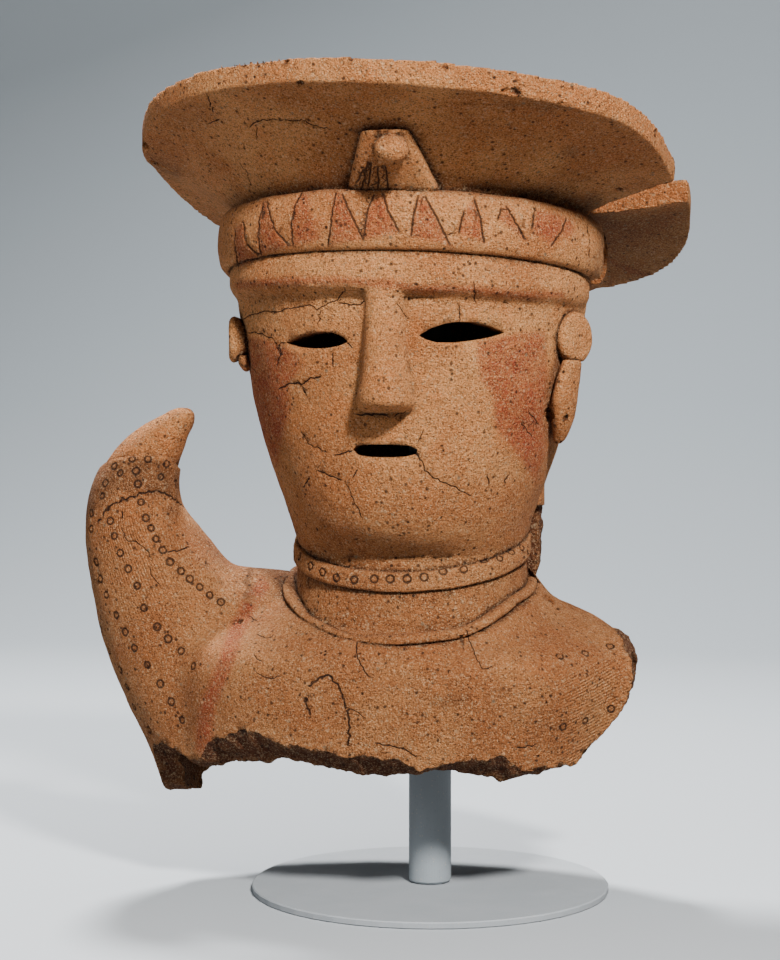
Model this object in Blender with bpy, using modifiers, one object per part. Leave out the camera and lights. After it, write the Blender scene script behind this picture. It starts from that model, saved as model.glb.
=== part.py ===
"""A haniwa: the broken bust of a hollow, low-fired clay figure, held up by a steel post on a flat foot.

The figure looks along -Y, its right arm is raised at -X, and +Z is up. The origin is the centre of the foot's
underside.
"""

import math

import bmesh
import bpy
import numpy as np

# Driving sizes, in metres.
FIGURE_HEIGHT = 0.310
FIGURE_LIFT = 0.045
CLAY_WALL = 0.010
CROWN_THICKNESS = 0.013
BOARD_THICKNESS = 0.010
POST_DIAMETER = 0.019
POST_EDGE = 0.0010
FOOT_DIAMETER = 0.160
FOOT_THICKNESS = 0.003
FOOT_EDGE = 0.0005
FIT_GAP = 0.0003

# The figure is a free form, so its tables below are shares of its height: a 310th each, 1 mm at real size.
UNITS_HIGH = 310.0
UNIT = FIGURE_HEIGHT / UNITS_HIGH
WALL = CLAY_WALL / UNIT

# Mesh fineness, in metres and in counts.
BODY_VOXEL = 0.0030
SKIN_VOXEL = 0.0020
ROUND = 48
SKIN_FACES = 6300
CAVITY_FACES = 1200

# The head's axis, and its level sections from the neck up: height, half width, reach to front and back.
HEAD_X = -8.0
HEAD_ROWS = (
    (104, 49, 47, 49),
    (110, 51, 56, 51),
    (118, 53, 65, 53),
    (128, 56, 70, 56),
    (140, 60.5, 72, 62),
    (156, 66, 73.5, 68),
    (176, 71, 75.5, 73),
    (200, 75.5, 77.5, 77),
    (220, 78.5, 79, 79),
    (243, 80, 80, 80),
    (262, 78, 78, 78),
)
CEILING = 248.0

# The neck: height and radius.
NECK_ROWS = ((54, 58), (66, 55.5), (80, 53.5), (94, 52), (108, 51), (135, 50))

# The robe: height on the axis, fall towards the front, centre, half width, reach to front and back.
ROBE_ROWS = (
    (-30, 0.00, -20, 90, 65, 62),
    (20, 0.00, -17, 98, 67, 66),
    (45, 0.02, -14, 103, 69, 68),
    (57, 0.06, -13, 105, 69, 68),
    (65, 0.10, -13, 101, 68.5, 67.5),
    (71, 0.14, -14, 95, 68, 66),
    (75, 0.17, -15, 86, 67, 65),
    (79, 0.21, -15, 73, 65.5, 63),
    (84, 0.25, -12, 65, 64, 60.5),
    (88, 0.29, -10, 59.5, 62, 58.5),
    (91.5, 0.31, -9, 56, 59, 56.5),
)

# The raised right arm in its sleeve: centre x, y and height, then half thickness seen from front and side.
ARM_ROWS = (
    (-84, 2, -30, 28, 36),
    (-97, 1, 20, 31, 37),
    (-109, 0, 52, 34, 36),
    (-120, -1, 80, 34, 34),
    (-130, -3, 104, 28, 30),
    (-135, -5, 121, 23.5, 26),
    (-133.5, -7, 136, 20, 22),
    (-127, -8, 150, 15.5, 17),
    (-118.5, -9, 160.5, 11.5, 12.5),
    (-111, -10, 168.5, 7, 7.5),
    (-108, -10, 171, 3, 3),
)
ARM_HOLLOW_ROWS = 6

# The shoulder under the raised arm, and the stump of the left arm: the two ends of each, and their radii.
RIGHT_SHOULDER = ((-58, 6, 68), 28, (-122, 0, 74), 28)
LEFT_STUMP = ((40, 0, 44), 31, (118, -2, 40), 32)

# The hair board: bearing, and distance from the head's axis to its rim, before its break.
BOARD_OUTLINE = (
    (-180, 104), (-165, 105), (-150, 109), (-135, 115), (-120, 122), (-105, 123), (-90, 120), (-75, 121),
    (-60, 121.5), (-45, 121.5), (-30, 123), (-15, 123.5), (0, 124.5), (15, 126), (30, 130), (45, 132.5),
    (60, 127), (75, 121.5), (90, 122), (105, 128), (120, 135), (135, 131), (150, 119), (165, 110), (180, 104),
)
# Height of the rim's middle against distance behind the head's axis, and its fall towards the left.
RIM_ROWS = ((-126, 303), (-75, 294), (-30, 281), (0, 277.5), (30, 271), (70, 254), (106, 237))
RIM_ROLL = -0.07
BOARD_ROOT_RADIUS = 77.0
# Where the board closes inside the head, and the crown over it: radius, share of the rise to the rim.
BOARD_CORE_RADIUS = 60.0
BOARD_CORE_FOOT = CEILING - 20.0
CROWN_ROWS = ((58.0, 0.45), (34.0, 0.12), (12.0, 0.0))
BOARD_ROOT_HEIGHT = 257.0
BOARD_ROOT_FALL = -0.06
CROWN_TOP = CEILING + CROWN_THICKNESS / UNIT

# The rolled hair band: height on the axis, fall to the back and to the left, half height, how far it stands
# out, and how square its section is, from 1 for round down to 0.
BAND_HEIGHT = 241.0
BAND_FALL = -0.085
BAND_ROLL = -0.02
BAND_HALF_HEIGHT = 13.0
BAND_PROUD = 7.5
BAND_LEVEL_RADIUS = 80.0
BAND_SQUARENESS = 0.55

# The brow ledge below it: height of its ridge on the axis, its fall to the left, how far it runs to either
# side, and its section as height over the ridge and share of how far it stands out.
BROW_HEIGHT = 221.0
BROW_ROLL = -0.035
BROW_PROUD = 6.0
BROW_SPREAD_DEG = 84.0
BROW_SECTION = (
    (17, -0.4), (16, 0.3), (10, 0.72), (4, 0.95), (0.5, 1.0), (-2, 0.75), (-4.5, 0.1), (-5, -0.5), (6, -0.9),
)

# The nose, from the brow down: height, half width, how far it stands out of the face.
NOSE_ROWS = (
    (226, 9.5, 5), (212, 9, 7), (196, 9.5, 11), (182, 11, 15), (174, 12.5, 17), (170.5, 12, 15),
    (168.5, 10, 9),
)

# Slots cut through the face: bearing from the front, height, width, opening.
RIGHT_EYE = (-23.0, 199.0, 30.0, 7.0)
LEFT_EYE = (24.0, 202.0, 35.0, 8.0)
MOUTH = (0.0, 152.5, 27.0, 5.2)

# Ear discs: bearing on the head and height, then for each the bearing that it faces, radius, thickness and
# stand off the head.
EAR_BEARING = 71.0
EAR_HEIGHT = 201.0
EAR_ROOT = 8.0
LEFT_EAR = (60.0, 11.5, 6.0, 3.0)
RIGHT_EAR = (79.0, 10.4, 4.6, 4.6)
# Pendants: height, centre along the surface, half width, half thickness, stand from the surface. The left
# one is nearly whole, and of the right one only the root is left.
LEFT_PENDANT = (
    (191, 0, 7, 3.0, 5), (184, -1, 8.5, 4.0, 5), (174, -1, 9, 4.6, 5), (165, 1, 6.5, 4.2, 5),
    (158, 3, 3.5, 3.0, 4.5), (155, 3.5, 1.5, 1.5, 4),
)
RIGHT_PENDANT = (
    (194, 0, 5.5, 2.6, 3), (190.5, 0.3, 4.6, 2.4, 2.4), (188, 0.6, 3.0, 1.8, 1.8),
    (186.8, 0.8, 1.4, 1.0, 1.4),
)
PENDANT_BEARING = 69.0

# The comb on the front of the hair: height, half width, distance in front of the head's axis.
COMB_ROWS = ((252, 21, 86), (261, 18.7, 91), (272, 14.5, 98.5), (282, 10.3, 105))
COMB_X = -4.5
COMB_DEPTH = 22.0
COMB_KNOB = (-2.2, -107.0, 276.5)
COMB_KNOB_SIZE = (7.5, 8.0, 6.0)

# The choker of stamped beads: height on the axis, rise to the back, half height, how far it stands out, and
# its two ends.
CHOKER_HEIGHT = 110.0
CHOKER_RISE = 0.27
CHOKER_HALF_HEIGHT = 4.4
CHOKER_PROUD = 2.6
CHOKER_ENDS_DEG = (-176.0, 97.0)

# The robe's collar edge: bearing, height, distance from the head's axis; then its half height and thickness.
COLLAR_ROWS = (
    (-180, 106, 57), (-135, 103, 58), (-90, 95, 58), (-63, 86, 57), (-48, 80, 57.5), (-36, 77, 58.5),
    (-25, 74.5, 60), (-14, 72.5, 60.5), (2, 73.5, 61.5), (21, 75.5, 62), (29, 76.5, 61.5), (39, 79.5, 59.5),
    (51, 84, 57), (66, 88.5, 55), (85, 92, 55), (120, 100, 56), (150, 104, 57), (180, 106, 57),
)
COLLAR_HALF_HEIGHT = 2.6
COLLAR_DEPTH = 7.0

# The broken slab of hair at the nape: height, half width, nearest and farthest distance behind the axis.
NAPE_ROWS = (
    (88, 49, 32, 58), (100, 53, 32, 60), (112, 54.5, 33, 61), (126, 54.5, 34, 62), (145, 54, 36, 63),
    (160, 50, 40, 64), (172, 40, 46, 64),
)
NAPE_X = -7.0
# Where its left end is broken back, in plan and between two heights.
NAPE_BREAK = ((36, 34), (62, 25), (62, 70), (46, 66), (45, 44), (34, 43))
NAPE_BREAK_HEIGHTS = (84.0, 126.0)

# Edge of the break round the bottom: bearing, height where it meets the outer face, depth of the bevel to the
# inner face; then the centre and half widths of the oval that it is measured round.
BREAK_ROWS = (
    (-180, 16, 4), (-150, 14, 4), (-128, 11, 4), (-116, 8, 4), (-108, 2, 3), (-100, -4, 2), (-90, -2, 1),
    (-79, 0, 1), (-74, 15, 3), (-66, 17, 5), (-58, 15, 5), (-51, 17, 5), (-46, 22, 8), (-37, 26, 14),
    (-31, 27, 14), (-28, 27, 10), (-20, 26, 9), (-6, 24.5, 10), (2, 23, 10), (9, 21, 7.5), (12.5, 18, 3),
    (17, 18, 2), (22, 22, 6), (32, 21, 10), (36, 18.5, 9), (39, 16, 6), (48, 15.5, 4), (57, 18, 1),
    (68, 24, 0), (77, 31, 0), (90, 42, 0), (110, 40, 1), (140, 24, 3), (180, 16, 4),
)
BREAK_CENTRE_X = -17.0
BREAK_HALF_WIDTH = 98.0
BREAK_HALF_DEPTH = 67.0
BREAK_FLOOR = -60.0
BREAK_RIPPLE = 1.0

# The broken end of the left shoulder, seen from the front: distance to the left and height.
STUMP_BREAK = (
    (64, -40), (64, 13), (72, 23), (79, 31), (85, 37), (89, 44), (91, 51), (92, 57), (90, 64), (86, 70),
    (80, 76), (78, 90), (78, 140), (180, 140), (180, -40),
)

# The break across the back of the neck, beside the choker's end: bearings and heights.
NECK_HOLE_DEG = (95.0, 124.0)
NECK_HOLE_HEIGHTS = (92.0, 128.0)

# The break in the hair board, to the left: a gap right through, as points in plan.
BOARD_GAP = (
    (70, -2), (82, -14), (100, -23), (111, -30), (150, -52), (150, 6), (116, 7), (98, 9), (83, 8), (73, 5),
)
BOARD_GAP_HEIGHTS = (215.0, 330.0)


def place(x, y, z):
    """A point of the figure's tables as a point in metres."""
    return (x * UNIT, y * UNIT, z * UNIT + FIGURE_LIFT)


def curve_through(rows, samples):
    """Rows on a smooth curve through the given rows, evenly spaced by row number."""
    rows = np.array(rows, float)
    before = 2 * rows[0] - rows[1]
    after = 2 * rows[-1] - rows[-2]
    knots = np.vstack([before, rows, after])
    out = []
    for position in np.linspace(0, len(rows) - 1, samples):
        i = min(int(position), len(rows) - 2)
        t = position - i
        a, b, c, d = knots[i : i + 4]
        out.append(b + 0.5 * t * (c - a + t * (2 * a - 5 * b + 4 * c - d + t * (3 * (b - c) + d - a))))
    return out


def curve_at(rows, at):
    """The second and later columns of the rows at a value of the first, on a smooth curve."""
    rows = np.array(rows, float)
    fine = np.array(curve_through(rows, 8 * len(rows)))
    return [float(np.interp(at, fine[:, 0], fine[:, k])) for k in range(1, rows.shape[1])]


def new_object(name, points, faces):
    mesh = bpy.data.meshes.new(name)
    mesh.from_pydata([tuple(p) for p in points], [], faces)
    mesh.update()
    made = bpy.data.objects.new(name, mesh)
    bpy.context.scene.collection.objects.link(made)
    return made


def loft(name, rings):
    """A closed solid through rings of equal count, each anticlockwise seen from the last one's side."""
    count = len(rings[0])
    points = [p for ring in rings for p in ring]
    faces = [tuple(range(count))[::-1]]
    for r in range(len(rings) - 1):
        for k in range(count):
            here, there = r * count + k, r * count + (k + 1) % count
            faces.append((here, there, there + count, here + count))
    last = (len(rings) - 1) * count
    faces.append(tuple(range(last, last + count)))
    return new_object(name, points, faces)


def hoop(name, sections):
    """A closed band: sections of equal count in a ring, the last joined to the first."""
    count, number = len(sections[0]), len(sections)
    points = [p for section in sections for p in section]
    faces = []
    for s in range(number):
        for k in range(count):
            a, b = s * count + k, s * count + (k + 1) % count
            c, d = ((s + 1) % number) * count + (k + 1) % count, ((s + 1) % number) * count + k
            faces.append((a, b, c, d))
    return new_object(name, points, faces)


def bearing_point(bearing, radius, z, centre_x=HEAD_X):
    """A point round the head's axis, at a bearing from the front in degrees, positive to the left."""
    angle = math.radians(bearing)
    return (centre_x + radius * math.sin(angle), -radius * math.cos(angle), z)


def level_ring(z, centre_x, half_width, front, back, fall=0.0, power=2.0, count=ROUND):
    """A superellipse with its own reach to the front and back, on a plane that falls towards the front."""
    ring = []
    for k in range(count):
        angle = 2 * math.pi * k / count
        c, s = math.cos(angle), math.sin(angle)
        x = half_width * math.copysign(abs(c) ** (2 / power), c)
        y = (back if s > 0 else front) * math.copysign(abs(s) ** (2 / power), s)
        ring.append(place(centre_x + x, y, z + fall * y))
    return ring


def head(shrink=0.0, top=None):
    rings = []
    for z, width, front, back in curve_through(HEAD_ROWS, 20):
        if top is not None and z > top:
            break
        rings.append(level_ring(z, HEAD_X, width - shrink, front - shrink, back - shrink))
    if top is not None:
        width, front, back = curve_at(HEAD_ROWS, top)
        rings.append(level_ring(top, HEAD_X, width - shrink, front - shrink, back - shrink))
    return loft("head", rings)


def neck(shrink=0.0):
    rows = curve_through(NECK_ROWS, 8)
    return loft("neck", [level_ring(z, HEAD_X, r - shrink, r - shrink, r - shrink) for z, r in rows])


def robe(shrink=0.0):
    rings = []
    for z, fall, centre, width, front, back in curve_through(ROBE_ROWS, 20):
        rings.append(
            level_ring(z - 0.7 * shrink, centre, width - shrink, front - shrink, back - shrink, fall, 2.25)
        )
    return loft("robe", rings)


def arm(shrink=0.0, rows=ARM_ROWS, count=28):
    """The sleeve and arm as a bent, tapering form whose sections square up to its own line."""
    line = curve_through(rows, 3 * len(rows))
    rings = []
    for i, (x, y, z, wide, deep) in enumerate(line):
        ahead, behind = line[min(i + 1, len(line) - 1)], line[max(i - 1, 0)]
        dx, dz = ahead[0] - behind[0], ahead[2] - behind[2]
        length = math.hypot(dx, dz)
        side_x, side_z = dz / length, -dx / length
        wide, deep = wide - shrink, deep - shrink
        ring = []
        for k in range(count):
            angle = 2 * math.pi * k / count
            across, along_y = wide * math.cos(angle), deep * math.sin(angle)
            ring.append(place(x + across * side_x, y + along_y, z + across * side_z))
        rings.append(ring)
    return loft("arm", rings)


def limb(name, start, start_radius, end, end_radius, shrink=0.0, count=28, steps=10):
    """A round-ended limb between two points."""
    start, end = np.array(start, float), np.array(end, float)
    direction = (end - start) / np.linalg.norm(end - start)
    side = np.cross(direction, (0.0, 1.0, 0.0))
    side /= np.linalg.norm(side)
    other = np.cross(direction, side)
    r0, r1 = start_radius - shrink, end_radius - shrink
    stations = []
    for k in range(1, steps + 1):
        turn = math.pi / 2 * k / steps
        stations.append((start - direction * r0 * math.cos(turn), r0 * math.sin(turn)))
    for k in range(steps):
        turn = math.pi / 2 * k / steps
        stations.append((end + direction * r1 * math.sin(turn), r1 * math.cos(turn)))
    rings = []
    for centre, radius in stations:
        ring = []
        for k in range(count):
            angle = 2 * math.pi * k / count
            ring.append(place(*(centre + radius * (side * math.cos(angle) + other * math.sin(angle)))))
        rings.append(ring)
    return loft(name, rings)


def board():
    """The hair board: a shallow flared dish, tipped up at the front and dropping behind."""
    thickness = BOARD_THICKNESS / UNIT
    flare = (0.0, 0.2, 0.4, 0.6, 0.8, 1.0)
    lower = {s: [] for s in flare}
    upper = {s: [] for s in flare}
    count = 2 * ROUND
    for k in range(count):
        # Anticlockwise seen from above, as loft wants it.
        bearing = 360.0 * k / count
        rim = curve_at(BOARD_OUTLINE, bearing if bearing <= 180 else bearing - 360)[0]
        edge = bearing_point(bearing, rim, 0.0)
        rim_z = curve_at(RIM_ROWS, edge[1])[0] + RIM_ROLL * (edge[0] - HEAD_X) - thickness / 2
        root = bearing_point(bearing, BOARD_ROOT_RADIUS, 0.0)
        root_z = BOARD_ROOT_HEIGHT + BOARD_ROOT_FALL * root[1]
        for s in flare:
            radius = BOARD_ROOT_RADIUS + (rim - BOARD_ROOT_RADIUS) * s
            rise = 0.5 * s + 0.5 * math.sin(s * math.pi / 2)
            z = root_z + (rim_z - root_z) * rise
            lower[s].append(place(*bearing_point(bearing, radius, z)))
            steep = math.atan2((rim_z - root_z), rim - BOARD_ROOT_RADIUS)
            lift = thickness / math.cos(steep * (1 - s) * 0.8)
            upper[s].append(place(*bearing_point(bearing, radius, z + lift)))
    core = [bearing_point(360.0 * k / count, BOARD_CORE_RADIUS, BOARD_CORE_FOOT) for k in range(count)]
    rings = [[place(*spot) for spot in core]]
    rings += [lower[s] for s in flare]
    rings += [upper[s] for s in reversed(flare)]
    for radius, drop in CROWN_ROWS:
        ring = []
        for k in range(count):
            bearing = 360.0 * k / count
            inner_z = (upper[0.0][k][2] - FIGURE_LIFT) / UNIT
            ring.append(place(*bearing_point(bearing, radius, CROWN_TOP + (inner_z - CROWN_TOP) * drop)))
        rings.append(ring)
    return loft("board", rings)


def face_radius(bearing, z):
    """Distance from the head's axis to its outer face."""
    width, front, back = curve_at(HEAD_ROWS, z)
    angle = math.radians(bearing)
    c, s = math.cos(angle), math.sin(angle)
    return 1 / math.hypot(s / width, c / (front if c > 0 else back))


def hair_band(count=72, around=12):
    sections = []
    for k in range(count):
        bearing = 360.0 * k / count
        foot = bearing_point(bearing, BAND_LEVEL_RADIUS, 0)
        z = BAND_HEIGHT + BAND_FALL * foot[1] + BAND_ROLL * (foot[0] - HEAD_X)
        section = []
        for j in range(around):
            angle = 2 * math.pi * j / around
            c, s = math.cos(angle), math.sin(angle)
            out = BAND_PROUD * math.copysign(abs(c) ** BAND_SQUARENESS, c)
            up = BAND_HALF_HEIGHT * math.copysign(abs(s) ** 0.85, s)
            radius = face_radius(bearing, z) + out
            section.append(place(*bearing_point(bearing, radius, z + up)))
        sections.append(section)
    return hoop("hair_band", sections)


def strip(name, ends, section_at, count):
    """A band between two bearings, closed at its ends."""
    return loft(name, [section_at(b) for b in np.linspace(ends[0], ends[1], count)])


def brow():
    def section(bearing):
        fade = max(0.1, math.cos(math.radians(bearing / BROW_SPREAD_DEG * 90.0))) ** 0.4
        ridge = BROW_HEIGHT + BROW_ROLL * bearing_point(bearing, face_radius(bearing, BROW_HEIGHT), 0)[0]
        ring = []
        for rise, share in BROW_SECTION:
            z = ridge + rise
            out = BROW_PROUD * share * (fade if share > 0 else 1)
            ring.append(place(*bearing_point(bearing, face_radius(bearing, z) + out, z)))
        return ring

    return strip("brow", (-BROW_SPREAD_DEG, BROW_SPREAD_DEG), section, 40)


def choker():
    def section(bearing):
        y = -math.cos(math.radians(bearing)) * 51
        middle = CHOKER_HEIGHT + CHOKER_RISE * y
        ring = []
        for j in range(12):
            angle = 2 * math.pi * j / 12
            c, s = math.cos(angle), math.sin(angle)
            out = CHOKER_PROUD * math.copysign(abs(c) ** 0.5, c)
            z = middle + CHOKER_HALF_HEIGHT * math.copysign(abs(s) ** 0.6, s)
            radius = curve_at(NECK_ROWS, z)[0]
            ring.append(place(*bearing_point(bearing, radius + out, z)))
        return ring

    return strip("choker", CHOKER_ENDS_DEG, section, 60)


def collar(count=72, around=10):
    sections = []
    for k in range(count):
        bearing = -180 + 360.0 * k / count
        middle, reach = curve_at(COLLAR_ROWS, bearing)
        section = []
        for j in range(around):
            angle = 2 * math.pi * j / around
            radius = reach + 1 - COLLAR_DEPTH / 2 * (1 - math.cos(angle))
            rise = math.copysign(abs(math.sin(angle)) ** 0.7, math.sin(angle))
            z = middle - 1.5 + COLLAR_HALF_HEIGHT * rise
            section.append(place(*bearing_point(bearing, radius, z)))
        sections.append(section)
    return hoop("collar", sections)


def nose():
    rings = []
    for z, width, proud in reversed(curve_through(NOSE_ROWS, 14)):
        surface = face_radius(0, z)
        ring = []
        for k in range(24):
            angle = 2 * math.pi * k / 24
            s = math.copysign(abs(math.sin(angle)) ** 0.7, math.sin(angle))
            y = -surface + 6 + (proud + 6) * min(0.0, s) + 4 * max(0.0, s)
            ring.append(place(HEAD_X + width * math.cos(angle), y, z))
        rings.append(ring)
    return loft("nose", rings)


def frame_at(bearing, facing, z, stand):
    """Centre and axes of something that sits on the head: its outward and its sideways direction."""
    centre = np.array(bearing_point(bearing, face_radius(bearing, z) + stand, z))
    turn = math.radians(facing)
    outward = np.array((math.sin(turn), -math.cos(turn), 0.0))
    sideways = np.array((math.cos(turn), math.sin(turn), 0.0))
    return centre, outward, sideways


def ear_disc(sign):
    facing, across_half, thickness, stand = LEFT_EAR if sign > 0 else RIGHT_EAR
    centre, outward, sideways = frame_at(sign * EAR_BEARING, sign * facing, EAR_HEIGHT, stand)
    rings = []
    front = thickness / 2
    for depth, share in ((-EAR_ROOT, 0.5), (-front, 0.92), (0.0, 1.0), (front - 1, 0.95), (front, 0.8)):
        ring = []
        for k in range(24):
            angle = 2 * math.pi * k / 24
            across = sideways * math.cos(angle) + np.array((0, 0, 1)) * math.sin(angle)
            ring.append(place(*(centre + outward * depth + across_half * share * across)))
        rings.append(ring)
    return loft("ear_disc", rings)


def pendant(sign):
    rings = []
    rows = curve_through(LEFT_PENDANT if sign > 0 else RIGHT_PENDANT, 12)
    for z, along, width, thick, stand in reversed(rows):
        centre, outward, sideways = frame_at(sign * PENDANT_BEARING, sign * PENDANT_BEARING, z, stand)
        centre = centre + sideways * along * sign
        ring = []
        for k in range(20):
            angle = 2 * math.pi * k / 20
            spot = centre + sideways * width * math.cos(angle) + outward * thick * math.sin(angle)
            ring.append(place(*spot))
        rings.append(ring[::-1])
    return loft("pendant", rings)


def comb():
    rings = []
    for z, width, out in curve_through(COMB_ROWS, 8):
        ring = []
        for k in range(20):
            angle = 2 * math.pi * k / 20
            c, s = math.cos(angle), math.sin(angle)
            x = COMB_X + width * math.copysign(abs(c) ** 0.5, c)
            y = -out + COMB_DEPTH / 2 + COMB_DEPTH / 2 * math.copysign(abs(s) ** 0.5, s)
            ring.append(place(x, y, z))
        rings.append(ring)
    return loft("comb", rings)


def ball(name, centre, size):
    bpy.ops.mesh.primitive_uv_sphere_add(segments=24, ring_count=14, radius=1.0)
    made = bpy.context.object
    made.name = name
    made.data.transform(made.matrix_world)
    for v in made.data.vertices:
        v.co = place(*(c + s * u for c, s, u in zip(centre, size, v.co)))
    return made


def nape():
    rings = []
    for z, width, near, far in curve_through(NAPE_ROWS, 10):
        middle, half = (near + far) / 2, (far - near) / 2
        ring = []
        for k in range(24):
            angle = 2 * math.pi * k / 24
            c, s = math.cos(angle), math.sin(angle)
            x = NAPE_X + width * math.copysign(abs(c) ** 0.4, c)
            ring.append(place(x, middle + half * math.copysign(abs(s) ** 0.4, s), z))
        rings.append(ring)
    return loft("nape", rings)


def baked(obj):
    """The object with its modifiers applied."""
    graph = bpy.context.evaluated_depsgraph_get()
    mesh = bpy.data.meshes.new_from_object(obj.evaluated_get(graph))
    obj.modifiers.clear()
    obj.data = mesh
    return obj


def melted(name, pieces, voxel, smoothing, faces=None):
    """Overlapping solids run together as wet clay is: one skin with soft joins, thinned to some faces."""
    points, polygons = [], []
    for piece in pieces:
        start = len(points)
        points += [tuple(v.co) for v in piece.data.vertices]
        polygons += [tuple(start + i for i in p.vertices) for p in piece.data.polygons]
        bpy.data.objects.remove(piece)
    made = new_object(name, points, polygons)
    remesh = made.modifiers.new("one skin", "REMESH")
    remesh.mode = "VOXEL"
    remesh.voxel_size = voxel
    if smoothing:
        smooth = made.modifiers.new("soft joins", "SMOOTH")
        smooth.factor = 0.5
        smooth.iterations = smoothing
    baked(made)
    if faces:
        made.data.calc_loop_triangles()
        thin = made.modifiers.new("fewer faces", "DECIMATE")
        thin.ratio = min(1.0, faces / len(made.data.loop_triangles))
        baked(made)
    return made


def body():
    return melted(
        "body",
        [robe(), arm(), limb("shoulder", *RIGHT_SHOULDER), limb("stump", *LEFT_STUMP)],
        BODY_VOXEL,
        8,
    )


def skin():
    """The figure's outer form."""
    knob = ball("comb_knob", COMB_KNOB, COMB_KNOB_SIZE)
    applied = [hair_band(), brow(), nose(), choker(), collar(), comb(), knob]
    ears = [make(sign) for sign in (-1, 1) for make in (ear_disc, pendant)]
    forms = [body(), neck(), head(), board(), nape(), *applied, *ears]
    return melted("skin", forms, SKIN_VOXEL, 2, SKIN_FACES)


def cavity():
    """The hollow, a wall's thickness inside the skin."""
    sleeve = ARM_ROWS[:ARM_HOLLOW_ROWS]
    hollows = [
        head(WALL, CEILING),
        neck(WALL),
        robe(WALL),
        arm(WALL, sleeve),
        limb("shoulder_hollow", *RIGHT_SHOULDER, shrink=WALL),
        limb("stump_hollow", *LEFT_STUMP, shrink=WALL),
    ]
    return melted("cavity", hollows, BODY_VOXEL, 4, CAVITY_FACES)


def almond(width, opening, count=20):
    """A slot's outline, pointed at both ends, as pairs across and up."""
    points = []
    for k in range(count):
        turn = 2 * math.pi * k / count
        across = math.cos(turn)
        up = math.copysign(abs(math.sin(turn)) ** 1.25, math.sin(turn))
        points.append((across * width / 2, up * opening / 2))
    return points


def slot(name, bearing, z, width, opening):
    """A cutter that goes in through the face, square to it."""
    _, outward, sideways = frame_at(bearing, bearing, z, 0.0)
    axis = np.array((HEAD_X, 0.0, z))
    rings = []
    for distance in (50.0, 96.0):
        ring = []
        for across, up in almond(width, opening):
            ring.append(place(*(axis + outward * distance + sideways * across + np.array((0, 0, up)))))
        rings.append(ring)
    return loft(name, rings)


def bottom_break():
    """A cutter whose ragged top is the broken edge, higher outside than inside, so the break faces out."""
    count = 150
    stations = {s: [] for s in (0.05, 0.55, 0.84, 1.0, 1.5)}
    floor = []
    for k in range(count):
        bearing = -180 + 360.0 * k / count
        bearings, *columns = zip(*BREAK_ROWS)
        outer, bevel = (float(np.interp(bearing, bearings, column)) for column in columns)
        turn = math.radians(bearing)
        waves = math.sin(9 * turn) + 0.7 * math.sin(23 * turn + 1) + 0.5 * math.sin(41 * turn + 2)
        ripple = BREAK_RIPPLE * waves
        across, ahead = BREAK_HALF_WIDTH * math.sin(turn), -BREAK_HALF_DEPTH * math.cos(turn)
        for s, ring in stations.items():
            if s <= 0.84:
                z = outer - bevel
            elif s == 1.0:
                z = outer + ripple
            else:
                z = outer + ripple + bevel
            ring.append(place(BREAK_CENTRE_X + s * across, s * ahead, z))
        floor.append(place(BREAK_CENTRE_X + 1.5 * across, 1.5 * ahead, BREAK_FLOOR))
    return loft("bottom_break", [floor, *[stations[s] for s in (1.5, 1.0, 0.84, 0.55, 0.05)]])


def slab_cutter(name, outline, low, high):
    """A cutter with an outline in plan."""
    rings = [[place(x, y, z) for x, y in outline] for z in (low, high)]
    return loft(name, rings)


def stump_break():
    rings = [[place(x, y, z) for x, z in STUMP_BREAK] for y in (90, -90)]
    return loft("stump_break", rings)


def neck_hole():
    low, high = NECK_HOLE_HEIGHTS
    rings = []
    for z in (low, high):
        inner = [place(*bearing_point(b, 34, z)) for b in NECK_HOLE_DEG]
        outer = [place(*bearing_point(b, 58, z)) for b in reversed(NECK_HOLE_DEG)]
        rings.append([*inner, *outer])
    return loft("neck_hole", rings)


def material(name, colour, roughness, metallic=0.0):
    made = bpy.data.materials.new(name)
    made.use_nodes = True
    shader = made.node_tree.nodes["Principled BSDF"]
    shader.inputs["Base Color"].default_value = (*colour, 1.0)
    shader.inputs["Roughness"].default_value = roughness
    shader.inputs["Metallic"].default_value = metallic
    made.diffuse_color = (*colour, 1.0)
    return made


def into(collection, obj):
    for holder in list(obj.users_collection):
        holder.objects.unlink(obj)
    collection.objects.link(obj)


def facing_out(obj):
    """Turns a closed solid's faces outwards."""
    bm = bmesh.new()
    bm.from_mesh(obj.data)
    bmesh.ops.recalc_face_normals(bm, faces=bm.faces)
    bm.to_mesh(obj.data)
    bm.free()
    return obj


def figure(parts, tools):
    made = skin()
    made.name = made.data.name = "haniwa_figure"
    cutters = [
        cavity(),
        slot("right_eye_slot", *RIGHT_EYE),
        slot("left_eye_slot", *LEFT_EYE),
        slot("mouth_slot", *MOUTH),
        bottom_break(),
        stump_break(),
        neck_hole(),
        slab_cutter("nape_break", NAPE_BREAK, *NAPE_BREAK_HEIGHTS),
        slab_cutter("board_gap", BOARD_GAP, *BOARD_GAP_HEIGHTS),
    ]
    for cutter in cutters:
        facing_out(cutter)
        cutter.hide_render = True
        cutter.display_type = "WIRE"
        into(tools, cutter)
        cut = made.modifiers.new(cutter.name, "BOOLEAN")
        cut.operation = "DIFFERENCE"
        cut.object = cutter
    made.data.materials.clear()
    made.data.materials.append(material("low_fired_clay", (0.56, 0.33, 0.18), 0.95))
    into(parts, made)
    return made


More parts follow.
